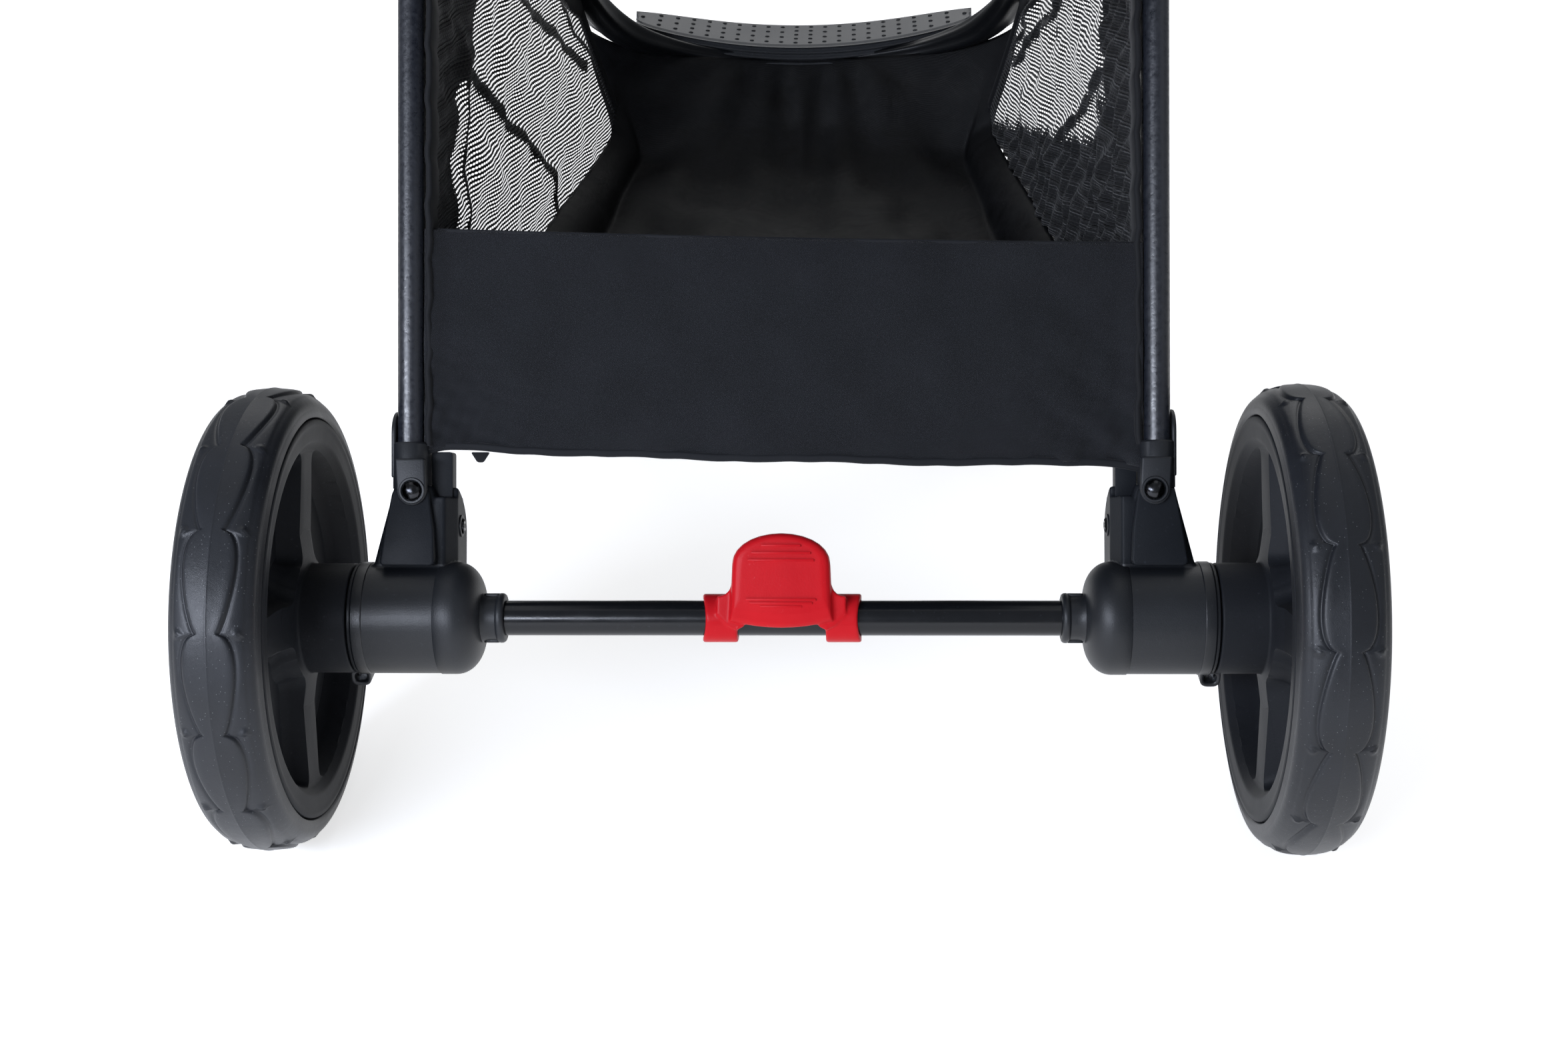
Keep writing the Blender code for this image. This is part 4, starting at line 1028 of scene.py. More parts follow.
def bracket(word, side):
    """Cover plate, leg socket, its tongue and ear, the rivet and the ear's bolt."""

    def behind(a, b, depth):
        return on_leg(side * (LEG_X + a), depth, b)

    plate = rounded(
        [
            (-0.0150, 0.0285), (0.0150, 0.0285), (0.0122, 0.0480), (0.0084, 0.0700),
            (-0.0108, 0.0700), (-0.0140, 0.0480),
        ],
        0.0034, 4,
    )

    def sloped(a, b, depth):
        return behind(a, b, depth + max(0.0, (0.0700 - b) / 0.0415) * (depth + 0.0105))

    cover = slab(f"cover_{word}", plate, -0.0152, -0.0105, sloped, 0.0012)
    dress(cover, "rear_frame", ARM_PLASTIC, [f"bracket_cover_{word}"])

    section = oval_section(0.0192, 0.0346, 32)
    rows = []
    for up, grow in (
        (0.0700, 0.0), (0.0940, 0.0), (0.0950, -0.0008), (0.0950, -0.0022), (0.0900, -0.0024),
    ):
        scale = 1 + 2 * grow / 0.0192
        rows.append(
            [on_leg(side * LEG_X + a * scale, b * (1 + 2 * grow / 0.0346), up) for a, b in section]
        )
    sleeve = face_outwards(skin("sleeve", rows, wrap_columns=True, capped=True))
    tongue = arc(-0.0022, RIVET_UP, 0.0080, math.pi, 2 * math.pi, 15)
    tongue += [(0.0066, 0.0860), (-0.0094, 0.0860)]
    tongue = slab("tongue", tongue, -0.0184, -0.0120, behind, 0.0012)

    def beside(a, b, depth):
        return on_leg(side * (LEG_X + depth), a, b)

    ear = [
        (0.0125 * math.cos(t), 0.1000 + 0.0120 * math.sin(t))
        for t in np.linspace(0, math.pi, 13)
    ]
    ear += [(-0.0125, 0.0760), (0.0125, 0.0760)]
    ear = slab("ear", ear, 0.0074, 0.0098, beside, 0.0008)
    strip = slab(
        "strip",
        rounded(
            [(-0.0215, 0.0600), (-0.0105, 0.0600), (-0.0100, 0.0900), (-0.0215, 0.0900)], 0.0016, 3,
        ),
        -0.0030, 0.0080, behind, 0.0008,
    )
    for piece, material in (
        (sleeve, PLASTIC), (tongue, PLASTIC), (ear, PLASTIC), (strip, ARM_PLASTIC),
    ):
        piece.data.materials.append(material)
    socket = joined(f"socket_{word}", [sleeve, tongue, ear, strip])
    dress(socket, "rear_frame", None, [f"leg_socket_{word}"])

    quarter = Matrix.Translation(
        on_leg(side * (LEG_X - 0.0026), 0, RIVET_UP)
    ) @ Matrix.Rotation(-LEAN, 4, "X") @ Matrix.Rotation(math.pi / 2, 4, "X")
    boss = lathe(
        "boss",
        [(0.0150, 0.0071), (0.0188, 0.0071), (0.0193, 0.0067), (0.0193, 0.0058), (0.0184, 0.0053)],
        (0, 0, 0), 1, 40, axis="Z",
    )
    dome = [(0.0170, 0.0052), (0.0186, 0.0052)]
    dome += [
        (0.0186 + 0.0032 * math.sin(t), 0.0052 * math.cos(t))
        for t in np.linspace(0.1, 1.45, 9)
    ]
    dome = lathe("dome", dome, (0, 0, 0), 1, 40, axis="Z")
    for piece in (boss, dome):
        piece.data.transform(quarter)
    boss.data.materials.append(PLASTIC)
    dome.data.materials.append(RIVET)
    rivet = joined(f"rivet_{word}", [boss, dome])
    dress(rivet, "rear_frame", None, [f"leg_rivet_{word}"])

    centre = on_leg(side * (LEG_X - EAR_FACE), 0.0070, 0.0500)
    washer = lathe(
        "washer", [(-0.0008, 0.0060), (0.0008, 0.0060), (0.0010, 0.0046), (0.0002, 0.0042)], centre,
        -side, 36,
    )
    bolt = lathe(
        "bolt",
        [(-0.0008, 0.0037), (0.0016, 0.0037), (0.0021, 0.0031), (0.0021, 0.0018), (0.0008, 0.0016)],
        centre, -side, 6,
    )
    washer.data.materials.append(PLASTIC)
    bolt.data.materials.append(RIVET)
    bolt = joined(f"ear_bolt_{word}", [washer, bolt])
    dress(bolt, "rear_frame", None, sharp=30)


def release_lever(word, side):
    """A sprung loop under the housing, with the end of its steel catch inside."""
    low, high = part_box(f"release_lever_{word}")
    centre = (low + high) / 2 + Vector((side * 0.0045, -0.0060, 0.0010))
    half, tall = (high.x - low.x) / 2, (high.z - low.z) / 2

    def across(a, b, depth):
        return Vector((centre.x + a, centre.y + depth, centre.z + b))

    outer = rounded(block(half, -tall, tall), 0.0045, 6)
    inner = rounded(block(half - 0.0022, -tall + 0.0024, tall - 0.0040), 0.0028, 6)
    rows = []
    for outline, depth in ((inner, -0.0068), (outer, -0.0072), (outer, 0.0072), (inner, 0.0068)):
        rows.append([across(a, b, depth) for a, b in outline])
    loop = face_outwards(skin("loop", rows, wrap_rows=True, wrap_columns=True))
    bevel(loop, 0.0008, 2)
    loop.data.materials.append(PLASTIC_SMOOTH)
    catch = slab(
        "catch", rounded(block(0.0026, -0.0046, 0.0050), 0.0010, 3), -0.0015, 0.0015, across,
        0.0004,
    )
    catch.data.materials.append(STEEL)
    lever = joined(f"lever_{word}", [loop, catch])
    dress(lever, f"release_lever_{word}", None, [f"release_lever_{word}"])


def rear_leg(word, side):
    """Flat-sided tube from its socket up into the hub."""
    top = (HUB - AXLE).length - 0.030
    rows = []
    section = oval_section(0.0140, 0.0300, 40)
    for up in np.linspace(0.0740, top, 12):
        rows.append([on_leg(side * LEG_X + a, b, up) for a, b in section])
    leg = face_outwards(skin(f"leg_tube_{word}", rows, wrap_columns=True, capped=True))
    dress(leg, "rear_frame", LEG_PAINT, [f"rear_leg_{word}"])


def rear_corners():
    for word, side in SIDES:
        axle_housing(word, side)
        housing_cap(word, side)
        bracket(word, side)
        release_lever(word, side)
        rear_leg(word, side)
        carry_over(f"brake_pin_{word}", STEEL)


# ---------------------------------------------------------------- brake


def brake_bar():
    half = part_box("brake_bar")[1].x
    bar = lathe(
        "cross_bar",
        [
            (-half, BAR_R - 0.001), (-half + 0.001, BAR_R), (half - 0.001, BAR_R),
            (half, BAR_R - 0.001),
        ],
        AXLE, 1, 64,
    )
    dress(bar, "brake", BAR_PAINT, ["brake_bar"])


def pedal_outline(inset, low, steps=14):
    """The pedal's lobe: a bowed lip below, upright sides and a rounded top."""
    half, shoulder, top = 0.0262 - inset, 0.0292, 0.0458 - 0.6 * inset
    outline = []
    for step in range(9):
        t = -1 + step / 4
        outline.append(((half + 0.0012) * t, low + 0.0036 * t * t))
    for step in range(steps + 1):
        turn = math.pi * step / steps
        outline.append(
            (half * math.cos(turn), shoulder + (top - shoulder) * math.sin(turn) ** 0.94)
        )
    return outline


def pedal_clip(side):
    """A collar round the bar whose outer rim is drawn in where it faces the foot."""
    inner, outer, bore = 0.0236, 0.0428, BAR_R + 0.0003
    rows = []
    for radius, share in (
        (bore, 0), (0.0125, 0), (0.0131, 0.04), (0.0131, 0.96), (0.0125, 1), (bore, 1),
    ):
        row = []
        for step in range(48):
            turn = 2 * math.pi * step / 48
            facing = max(0.0, math.cos(turn)) ** 1.5
            end = outer - 0.0022 * facing
            x = inner + (end - inner) * share
            row.append(on_leg(side * x, -radius * math.cos(turn), radius * math.sin(turn)))
        rows.append(row)
    return face_outwards(skin("clip", rows, wrap_rows=True, wrap_columns=True))


def pedal():
    lobe = []
    for depth, inset, low in (
        (-0.0095, 0.0012, -0.0035), (-0.0112, 0.0, -0.0046), (-0.0150, 0.0, -0.0046),
        (-0.0172, 0.0008, -0.0026), (-0.0186, 0.0026, 0.0026), (-0.0191, 0.0048, 0.0068),
    ):
        lobe.append([on_leg(a, depth, b) for a, b in pedal_outline(inset, low)])
    parts = [skin("lobe", lobe, wrap_columns=True, capped=True)]
    for _, side in SIDES:
        parts.append(pedal_clip(side))
        web = [
            (0.0200, -0.0040), (0.0240, -0.0060), (0.0290, -0.0035), (0.0345, 0.0025),
            (0.0345, 0.0120), (0.0305, 0.0128), (0.0280, 0.0150), (0.0262, 0.0195),
            (0.0252, 0.0240), (0.0200, 0.0240),
        ]
        parts.append(
            slab("web", web, -0.0138, -0.0080, lambda a, b, d, s=side: on_leg(s * a, d, b))
        )
    body = fused("pedal_body", parts, 0.0006, 9)
    ribs = []
    rows = (
        (0.0392, 0.0105, 0.0), (0.0353, 0.0158, 0.0), (0.0314, 0.0176, 0.0), (0.0105, 0.0186, 0.0),
        (0.0086, 0.0167, 0.0002), (0.0068, 0.0112, 0.0006),
    )
    for up, half, sunk in rows:
        outline = rounded(block(half, up - 0.0007, up + 0.0007), 0.0006, 3)
        ribs.append(
            slab(
                "rib", outline, -0.0200 + sunk, -0.0180, lambda a, b, d: on_leg(a, d, b), 0.0003, 2,
            )
        )
    foot_pedal = joined("foot_pedal", [body, *ribs])
    dress(foot_pedal, "brake", RED, ["brake_pedal"], sharp=50)


# ---------------------------------------------------------------- basket


# Half the width of the rear panel, which wraps a little round the legs.
PANEL_HALF = 0.1925


def panel_up(x, share):
    """How far up the legs a point of the rear panel lies, share from its hem to its top edge."""
    skew = -0.0100 * x / (2 * PANEL_HALF)
    low = 0.0862 + 0.0030 * (abs(x) / PANEL_HALF) ** 3 + skew - 0.0040 * np.maximum(
        0.0, (abs(x) - 0.178) / 0.0145,
    )
    high = 0.2052 + skew - 0.0012 * (1 - (x / PANEL_HALF) ** 2)
    return low + (high - low) * share


def basket_panel():
    """The rear panel: cloth pulled tight between the legs, gathered at its lower corners."""
    columns, rows = 190, 70
    x = np.linspace(-PANEL_HALF, PANEL_HALF, columns)[None, :]
    share = np.linspace(0, 1, rows)[:, None]
    up = panel_up(x, share)
    corner_l = np.exp(-((x + PANEL_HALF) / 0.045) ** 2 - (share / 0.40) ** 2)
    corner_r = np.exp(-((x - PANEL_HALF) / 0.060) ** 2 - (share / 0.55) ** 2)
    fold = ripples(x, up, 4, 0.060) * 0.0010
    pull = np.sin((x - PANEL_HALF + (up - 0.09) * 1.1) * 2 * math.pi / 0.034)
    fold = fold + 0.0014 * pull * corner_r + 0.0022 * ripples(x, up, 9, 0.014) * (
        corner_l + 0.6 * corner_r
    )
    belly = -0.0040 * (1 - (x / PANEL_HALF) ** 4) * np.sin(math.pi * share)
    droop = 0.0012 * np.exp(-((x - 0.010) / 0.030) ** 2 - ((share - 0.92) / 0.10) ** 2)
    wrap = 0.0040 * smoothstep((np.abs(x) - 0.1780) / 0.0145)
    out = -0.0050 + belly + fold - droop - wrap
    points = [[on_leg(x[0, j], out[i, j], up[i, j]) for j in range(columns)] for i in range(rows)]
    panel = skin("rear_panel", points)
    thicken(panel, 0.0011)
    dress(panel, None, FABRIC, ["basket_rear_panel"], sharp=None)
    hems = []
    for name, share_at, radius in (("top_hem", 1.0, 0.0011), ("bottom_hem", 0.0, 0.0022)):
        line = []
        for a in np.linspace(-PANEL_HALF, PANEL_HALF, 40):
            wave = 0.0005 * math.sin(a * 61) + 0.00025 * math.sin(a * 233 + 1)
            line.append(on_leg(a, -0.0050, panel_up(a, share_at) + wave * (1 - share_at)))
        hems.append(
            sweep(
                name, smooth_line(line, 3), oval_section(2 * radius * 0.7, 2 * radius, 12),
                Vector((0, 0.3, 1)),
            )
        )
    hem = joined("panel_hems", hems)
    dress(hem, "rear_frame", FABRIC)
    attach(panel, "rear_frame")
    tab = slab(
        "hem_tab", rounded(block(0.0052, 0.0, -0.0056, 0.0016), 0.0012, 4), -0.0012, 0.0012,
        lambda a, b, d: on_leg(-0.1640 + a, d + 0.0010, 0.0900 + b), 0.0005, 2,
    )
    dress(tab, "rear_frame", BINDING)


def thicken(obj, amount):
    modifier = obj.modifiers.new("thickness", "SOLIDIFY")
    modifier.thickness = amount
    modifier.offset = 0
    return bake_modifiers(obj)


def side_point(side, along, z):
    """A point of the basket's side, which narrows forwards and flares at its front."""
    start = 0.09 + 0.47 * max(0.0, z - 0.25)
    share = max(0.0, (along - start) / (0.52 - start))
    half = 0.1893 - 0.0510 * share**1.15 + 0.25 * share * share * max(0.0, z - 0.280)
    return ahead(side * half, along, z)


LOW_EDGE = ((0.0475, 0.200, 0.380, 0.520), (0.2140, 0.2180, 0.2360, 0.2660))
HIGH_EDGE = ((0.1665, 0.260, 0.400, 0.500), (0.4680, 0.4600, 0.4200, 0.3560))

# Folds and seams across each net side: (half width, how dark, (ahead of the axle, height) points).
NET_FOLDS = (
    (0.0020, 1.0, ((0.148, 0.225), (0.160, 0.291), (0.190, 0.369), (0.196, 0.392))),
    (0.0036, 0.9, ((0.188, 0.384), (0.240, 0.348), (0.300, 0.312), (0.340, 0.278), (0.352, 0.230))),
    (0.0034, 0.8, ((0.300, 0.420), (0.340, 0.392), (0.410, 0.358), (0.470, 0.322))),
    (0.0016, 0.9, ((0.390, 0.424), (0.440, 0.370), (0.492, 0.318))),
)


def distance_to(points, route):
    """How far each (ahead, height) lies from a route of straight lines."""
    nearest = np.full(points.shape[:-1], 1.0)
    for a, b in zip(route[:-1], route[1:]):
        a, b = np.array(a), np.array(b)
        share = np.clip(((points - a) @ (b - a)) / ((b - a) @ (b - a)), 0, 1)
        nearest = np.minimum(
            nearest, np.linalg.norm(points - (a + share[..., None] * (b - a)), axis=-1),
        )
    return nearest


def closed_up(side, flat):
    """Where the net is folded double: along the leg, at its folds, and low on the right."""
    from_leg = flat[..., 0] - np.interp(
        flat[..., 1], (LOW_EDGE[1][0], HIGH_EDGE[1][0]), (LOW_EDGE[0][0], HIGH_EDGE[0][0]),
    )
    reach = 0.045 + 0.042 * smoothstep((flat[..., 1] - 0.368) / 0.018)
    dense = 1 - smoothstep((from_leg - reach) / 0.005)
    fray = 0.0006 * ripples(flat[..., 0], flat[..., 1], 51, 0.006)
    for half, dark, route in NET_FOLDS:
        away = distance_to(flat, route)
        dense = np.maximum(dense, dark * (1 - smoothstep((away - half + fray) / 0.0018)))
    if side > 0:
        slack = (0.235 - 0.40 * (flat[..., 1] - 0.33) - flat[..., 0]) / 0.030
        under = (0.330 - 0.200 * (flat[..., 0] - 0.235) - flat[..., 1]) / 0.010
        frayed = 0.35 * ripples(flat[..., 0], flat[..., 1] * 0.6, 53, 0.012)
        dense = np.maximum(dense, 0.9 * smoothstep(np.maximum(slack, under) + frayed))
    return dense


def paint(obj, name, values):
    """A value at each point of a mesh, for its material to read."""
    layer = obj.data.attributes.new(name, "FLOAT", "POINT")
    layer.data.foreach_set("value", np.asarray(values, np.float32).ravel())


def basket_sides():
    for word, side in SIDES:
        columns, rows = 230, 130
        t = np.linspace(0, 1, columns)
        grid = np.zeros((rows, columns, 3))
        flat = np.zeros((rows, columns, 2))
        for j in range(columns):
            low_y = LOW_EDGE[0][0] + (LOW_EDGE[0][-1] - LOW_EDGE[0][0]) * t[j]
            high_y = HIGH_EDGE[0][0] + (HIGH_EDGE[0][-1] - HIGH_EDGE[0][0]) * t[j]
            low_z, high_z = np.interp(low_y, *LOW_EDGE), np.interp(high_y, *HIGH_EDGE)
            sag = -0.012 * math.sin(math.pi * t[j])
            for i, share in enumerate(np.linspace(0, 1, rows)):
                y = low_y + (high_y - low_y) * share
                z = low_z + (high_z + sag - low_z) * share
                grid[i, j] = side_point(side, y, z)
                flat[i, j] = y, z
        dense = closed_up(side, flat)
        depth = 0.0026 * ripples(flat[..., 0], flat[..., 1], 21 + side, 0.075)
        depth += 0.0008 * ripples(flat[..., 0], flat[..., 1], 31 + side, 0.020)
        for _, dark, route in NET_FOLDS:
            depth += 0.0020 * dark * np.exp(-((distance_to(flat, route) / 0.006) ** 2))
        if side > 0:
            slant = (flat[..., 0] * 0.9 + flat[..., 1] * 0.5) * 2 * math.pi / 0.017
            depth += 0.0020 * np.sin(
                slant + 3 * ripples(flat[..., 0], flat[..., 1], 55, 0.09)
            ) * dense
        depth *= smoothstep(t * 10) * smoothstep((1 - t) * 9)
        grid[..., 0] -= side * depth
        net = skin(f"side_net_{word}", grid)
        true_place = flat.reshape(-1, 2)[corner_points(net)].astype(np.float32)
        net.data.uv_layers["cloth"].data.foreach_set("uv", true_place.ravel())
        paint(net, "dense", dense)
        dress(net, None, NET, [f"basket_side_{word}"], sharp=None)
        hems = []
        for line, radius in ((grid[-1], 0.0022), (grid[:, -1], 0.0012)):
            points = [Vector(p) for p in line]
            hems.append(
                sweep(
                    "hem", points, oval_section(2 * radius, 6 * radius, 10), Vector((0.1, 0.3, 1)),
                )
            )
        hem = joined(f"net_hem_{word}", hems)
        dress(hem, None, BINDING)
        for piece in (net, hem):
            blend_with_legs(piece)


def blend_with_legs(piece):
    """Bakes the placement of cloth sewn to the legs behind and the front tube ahead into its mesh; it
    does not fold between them.
    """
    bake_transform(piece)


def basket_lining():
    """Floor and front wall of nylon: one sheet that turns up at its sides and its front."""
    route = [
        (0.046, 0.214), (0.120, 0.209), (0.220, 0.211), (0.330, 0.220), (0.430, 0.233),
        (0.495, 0.246), (0.522, 0.262), (0.540, 0.284), (0.5600, 0.3075),
    ]
    line = smooth_line([Vector((0, y, z)) for y, z in route], 14)
    columns = 150
    grid = np.zeros((len(line), columns, 3))
    for i, point in enumerate(line):
        wall = float(smoothstep((point.y - 0.500) / 0.055))
        edge_half = abs(side_point(1, min(point.y, 0.525), 0.27).x)
        lift = float(np.interp(point.y, (0.05, 0.20, 0.35, 0.50), (0.016, 0.026, 0.028, 0.016)))
        for j, t in enumerate(np.linspace(-1, 1, columns)):
            turned_up = float(smoothstep((abs(t) - 0.84) / 0.16))
            half = edge_half + 0.0200 * wall
            x = half * t - math.copysign(0.0050 * math.sin(math.pi * turned_up) * (1 - wall), t)
            y = point.y - wall * (0.018 * t * t + 0.002)
            z = point.z + lift * turned_up * (1 - wall) + wall * (
                0.0160 * abs(t) ** 2.4 + 0.0100 * abs(t) ** 8
            )
            grid[i, j] = (x, AXLE.y + y, z)
    u, v = grid[:, :, 0], grid[:, :, 1]
    edge = 1 - np.abs(np.linspace(-1, 1, columns))[None, :] ** 6
    rise = np.linspace(0, 1, len(line))[:, None]
    ends = smoothstep(rise * 12) * smoothstep((1 - rise) * 14)
    fold = 0.0040 * ripples(u, v, 12, 0.130) + 0.0014 * ripples(u, v, 17, 0.045)
    spread = np.arctan2(np.abs(u) - 0.02, AXLE.y + 0.60 - v)
    fold += 0.0020 * np.sin(spread * 14) * smoothstep((v - AXLE.y - 0.33) / 0.12)
    grid[:, :, 2] += fold * edge * ends - 0.004 * edge * ends
    lining = skin("basket_lining", grid)
    thicken(lining, 0.0007)
    dress(lining, None, LINING, ["basket_floor"], sharp=None)
    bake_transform(lining)


def leg_bindings():
    """Tape that holds the panel and the nets to the inner sides of the legs."""
    for word, side in SIDES:
        rows = []
        section = oval_section(0.0036, 0.0200, 16)
        for up in np.linspace(0.0930, 0.3900, 60):
            sway = 0.0005 * math.sin(up * 210 + side) + 0.0003 * math.sin(up * 430)
            rows.append([on_leg(side * (0.1901 + sway) + a, b - 0.0010, up) for a, b in section])
        tape = face_outwards(skin(f"leg_binding_{word}", rows, wrap_columns=True, capped=True))
        dress(tape, "rear_frame", BINDING)


# ---------------------------------------------------------------- footrest and front tube


FRONT_TUBE = (
    (0.1830, 0.2625, 0.5925),
    (0.1830, 0.3300, 0.5200),
    (0.1800, 0.4250, 0.4300),
    (0.1640, 0.5100, 0.3660),
    (0.1350, 0.5480, 0.3320),
    (0.0850, 0.5680, 0.3085),
    (0.0000, 0.5740, 0.3020),
)


def rolled_edge(side):
    """The basket's rolled front edge: from the footrest's skirt up over the front tube."""
    places = [
        (0.040, 0.5630, 0.3055), (0.085, 0.5590, 0.3130), (0.115, 0.5480, 0.3230),
        (0.135, 0.5380, 0.3350), (0.149, 0.5220, 0.3520), (0.160, 0.5000, 0.3740),
        (0.168, 0.4800, 0.3960),
    ]
    line = smooth_line([ahead(side * a, b, c) for a, b, c in places], 10)
    rows = []
    for i, point in enumerate(line):
        share = i / (len(line) - 1)
        tangent = (line[min(i + 1, len(line) - 1)] - line[max(i - 1, 0)]).normalized()
        normal = (
            Vector((0, -0.6, 0.8)) - tangent * tangent.dot(Vector((0, -0.6, 0.8)))
        ).normalized()
        across = tangent.cross(normal)
        size = 0.0052 + 0.0052 * float(smoothstep(share * 1.8))
        row = []
        for step in range(30):
            turn = 2 * math.pi * step / 30
            rolled = size * (1 + 0.10 * math.cos(5 * turn))
            row.append(point + across * rolled * math.cos(turn) + normal * rolled * math.sin(turn))
        rows.append(row)
    return face_outwards(skin("rolled_edge", rows, wrap_columns=True, capped=True))


def front_tube():
    places = [ahead(*place) for place in FRONT_TUBE]
    places += [Vector((-p.x, p.y, p.z)) for p in reversed(places[:-1])]
    line = smooth_line(places, 14)
    tube = sweep("front_bow", line, oval_section(0.0140, 0.0200, 28), Vector((0, 0.66, 0.75)))
    dress(tube, "front_frame", LEG_PAINT, ["front_tube"])


def tray_edges(t):
    """How far ahead the tray's near and far edges lie at t across it, and how far it has risen."""
    far = 0.6150 - 0.0180 * t**6
    gap = 0.0530 * (1 - 0.30 * t * t) * math.sqrt(max(0.0, 1 - t**6)) + 0.0030
    return far - gap, far, 0.0155 * t * t


def footrest_section(t):
    """The tray's section at t across it, -1 to 1: over the top, then down its ribbed skirt."""
    near, far, lift = tray_edges(t)
    near_z, far_z = TRAY_NEAR_Z + lift, TRAY_FAR_Z + lift
    skirt = 1.25 - 0.35 * t * t
    top = [(far + 0.0008, far_z - 0.0042), (far + 0.0008, far_z - 0.0012), (far, far_z)]
    for share in np.linspace(0.04, 0.96, 24):
        top.append((far + (near - far) * share, far_z + (near_z - far_z) * share))
    top += [(near, near_z), (near - 0.0012, near_z - 0.0010)]
    down = []
    for share in np.linspace(0, 1, 25):
        ridge = 0.0013 * math.cos(share * 6 * math.pi)
        down.append(
            (near - 0.0026 - ridge - 0.0012 * share, near_z - 0.0014 - 0.0100 * share * skirt)
        )
    under = [
        (near + 0.0030, near_z - 0.0108 * skirt), (near + 0.0060, near_z - 0.0050),
        (far - 0.0030, far_z - 0.0050),
    ]
    return top + down + under


def footrest():
    half, columns = 0.1280, 120
    rows = []
    for t in np.linspace(-1, 1, columns):
        rows.append([ahead(half * t, y, z) for y, z in footrest_section(t)])
    tray = face_outwards(skin("tray", rows, wrap_columns=True, capped=True))
    tray.data.materials.append(TRAY_PLASTIC)
    studs = []
    across = 22
    for column in range(across):
        t = -0.97 + 1.94 * column / (across - 1)
        t = t * (0.93 + 0.07 * t * t)
        near, far, lift = tray_edges(t)
        count = int(round((far - near - 0.004) / 0.0115))
        for row in range(max(1, count)):
            share = (row + 0.5) / max(1, count)
            place = ahead(
                0.1270 * t, near + (far - near) * share, TRAY_NEAR_Z + lift + 0.0035 * share,
            )
            profile = [(-0.0010, 0.0017), (0.0001, 0.0017), (0.0006, 0.0013), (0.0009, 0.0006)]
            studs.append(lathe("stud", profile, place, 1, 12, axis="Z"))
    dots = joined("tray_studs", studs)
    dots.data.materials.append(PLASTIC)
    obj = joined("footrest_tray", [tray, dots])
    dress(obj, "front_frame", None, ["footrest"])
    edges = joined("rolled_edges", [rolled_edge(side) for _, side in SIDES])
    dress(edges, "front_frame", LINING_EDGE, sharp=60)


# ---------------------------------------------------------------- front wheels and casters


def front_wheels():
    for word, side in SIDES:
        centre = middle(f"front_tyre_{word}")
        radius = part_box(f"front_tyre_{word}")[1].z - centre.z
        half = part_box(f"front_tyre_{word}")[1].x - centre.x
        bed = 0.0745
        tyre = moulded_tyre(
            f"front_tyre_skin_{word}", centre, side, radius, half, bed, 14, 0.78, 26,
        )
        body = f"front_wheel_{word}"
        dress(tyre, body, TYRE, [f"front_tyre_{word}"], sharp=None)
        face = half - 0.0012
        profile = [
            (-face, bed - 0.0003),
            (-face, 0.0640),
            (-0.0060, 0.0590),
            (-0.0050, 0.0200),
            (-0.0170, 0.0165),
            (-0.0178, 0.0150),
            (-0.0178, 0.0056),
            (0.0178, 0.0056),
            (0.0178, 0.0150),
            (0.0170, 0.0165),
            (0.0050, 0.0200),
            (0.0060, 0.0590),
            (face, 0.0640),
            (face, bed - 0.0003),
        ]
        rim = lathe(f"front_rim_disc_{word}", profile, centre, 1, 72, soft=0.0014, closed=True)
        cutters = []
        for quarter in range(4):
            outline = pocket_outline(0.0245, 0.0555, 0.0080, quarter, 0.0060)
            rings = ((-0.030, 0.0), (-0.006, 0.0), (0.0, 0.0010), (0.006, 0.0), (0.030, 0.0))
            cutters.append(pocket(centre, outline, [(centre.x + x, draw) for x, draw in rings]))
        cut(rim, cutters)
        bevel(rim, 0.0010, 3, 38)
        dress(rim, body, PLASTIC, [f"front_rim_{word}"], sharp=50)


def caster_fork(word, centre, stem_y):
    """Two arms, a crown and the stem in one moulding."""
    gap, thick = 0.0210, 0.0060
    low, high = 0.1860, 0.2000

    def beside(a, b, depth):
        return Vector((centre.x + depth, a, b))

    arm = []
    for step in range(13):
        turn = math.radians(-172 + 164 * step / 12)
        arm.append((centre.y + 0.0138 * math.cos(turn), centre.z + 0.0138 * math.sin(turn)))
    arm += [
        (centre.y + 0.0295, 0.1400),
        (stem_y + 0.0148, low),
        (stem_y + 0.0148, high - 0.0040),
        (stem_y + 0.0108, high),
        (stem_y - 0.0298, high),
        (stem_y - 0.0358, high - 0.0060),
    ]
    parts = []
    for depth in (gap, -gap - thick):
        parts.append(slab("arm", arm, depth, depth + thick, beside, 0.0012))
    crown = rounded(
        [
            (stem_y - 0.0335, low), (stem_y + 0.0140, low), (stem_y + 0.0140, high),
            (stem_y - 0.0340, high),
        ],
        0.0040,
        4,
    )
    parts.append(slab("crown", crown, -gap - 0.003, gap + 0.003, beside, 0.0010))
    stem = Vector((centre.x, stem_y, 0))
    parts.append(
        lathe(
            "collar",
            [
                (0.194, 0.0150), (0.2075, 0.0150), (0.2100, 0.0138), (0.2100, 0.0060),
                (0.2385, 0.0058), (0.2392, 0.0050),
            ],
            stem, 1, 40, axis="Z",
        )
    )
    fork = fused(f"fork_{word}", parts, 0.0009, 5)
    rib = []
    for depth in (gap + thick - 0.0006, -gap - thick - 0.0010):
        outline = [
            (centre.y - 0.0040, 0.1180),
            (centre.y + 0.0080, 0.1180),
            (centre.y + 0.0225, 0.1480),
            (stem_y + 0.0060, 0.1840),
            (stem_y - 0.0200, 0.1840),
        ]
        rib.append(slab("rib", rounded(outline, 0.0040, 4), depth, depth + 0.0016, beside, 0.0007))
    fork = joined(f"fork_{word}", [fork, *rib])
    dress(fork, f"caster_{word}", PLASTIC, [f"caster_fork_{word}"])


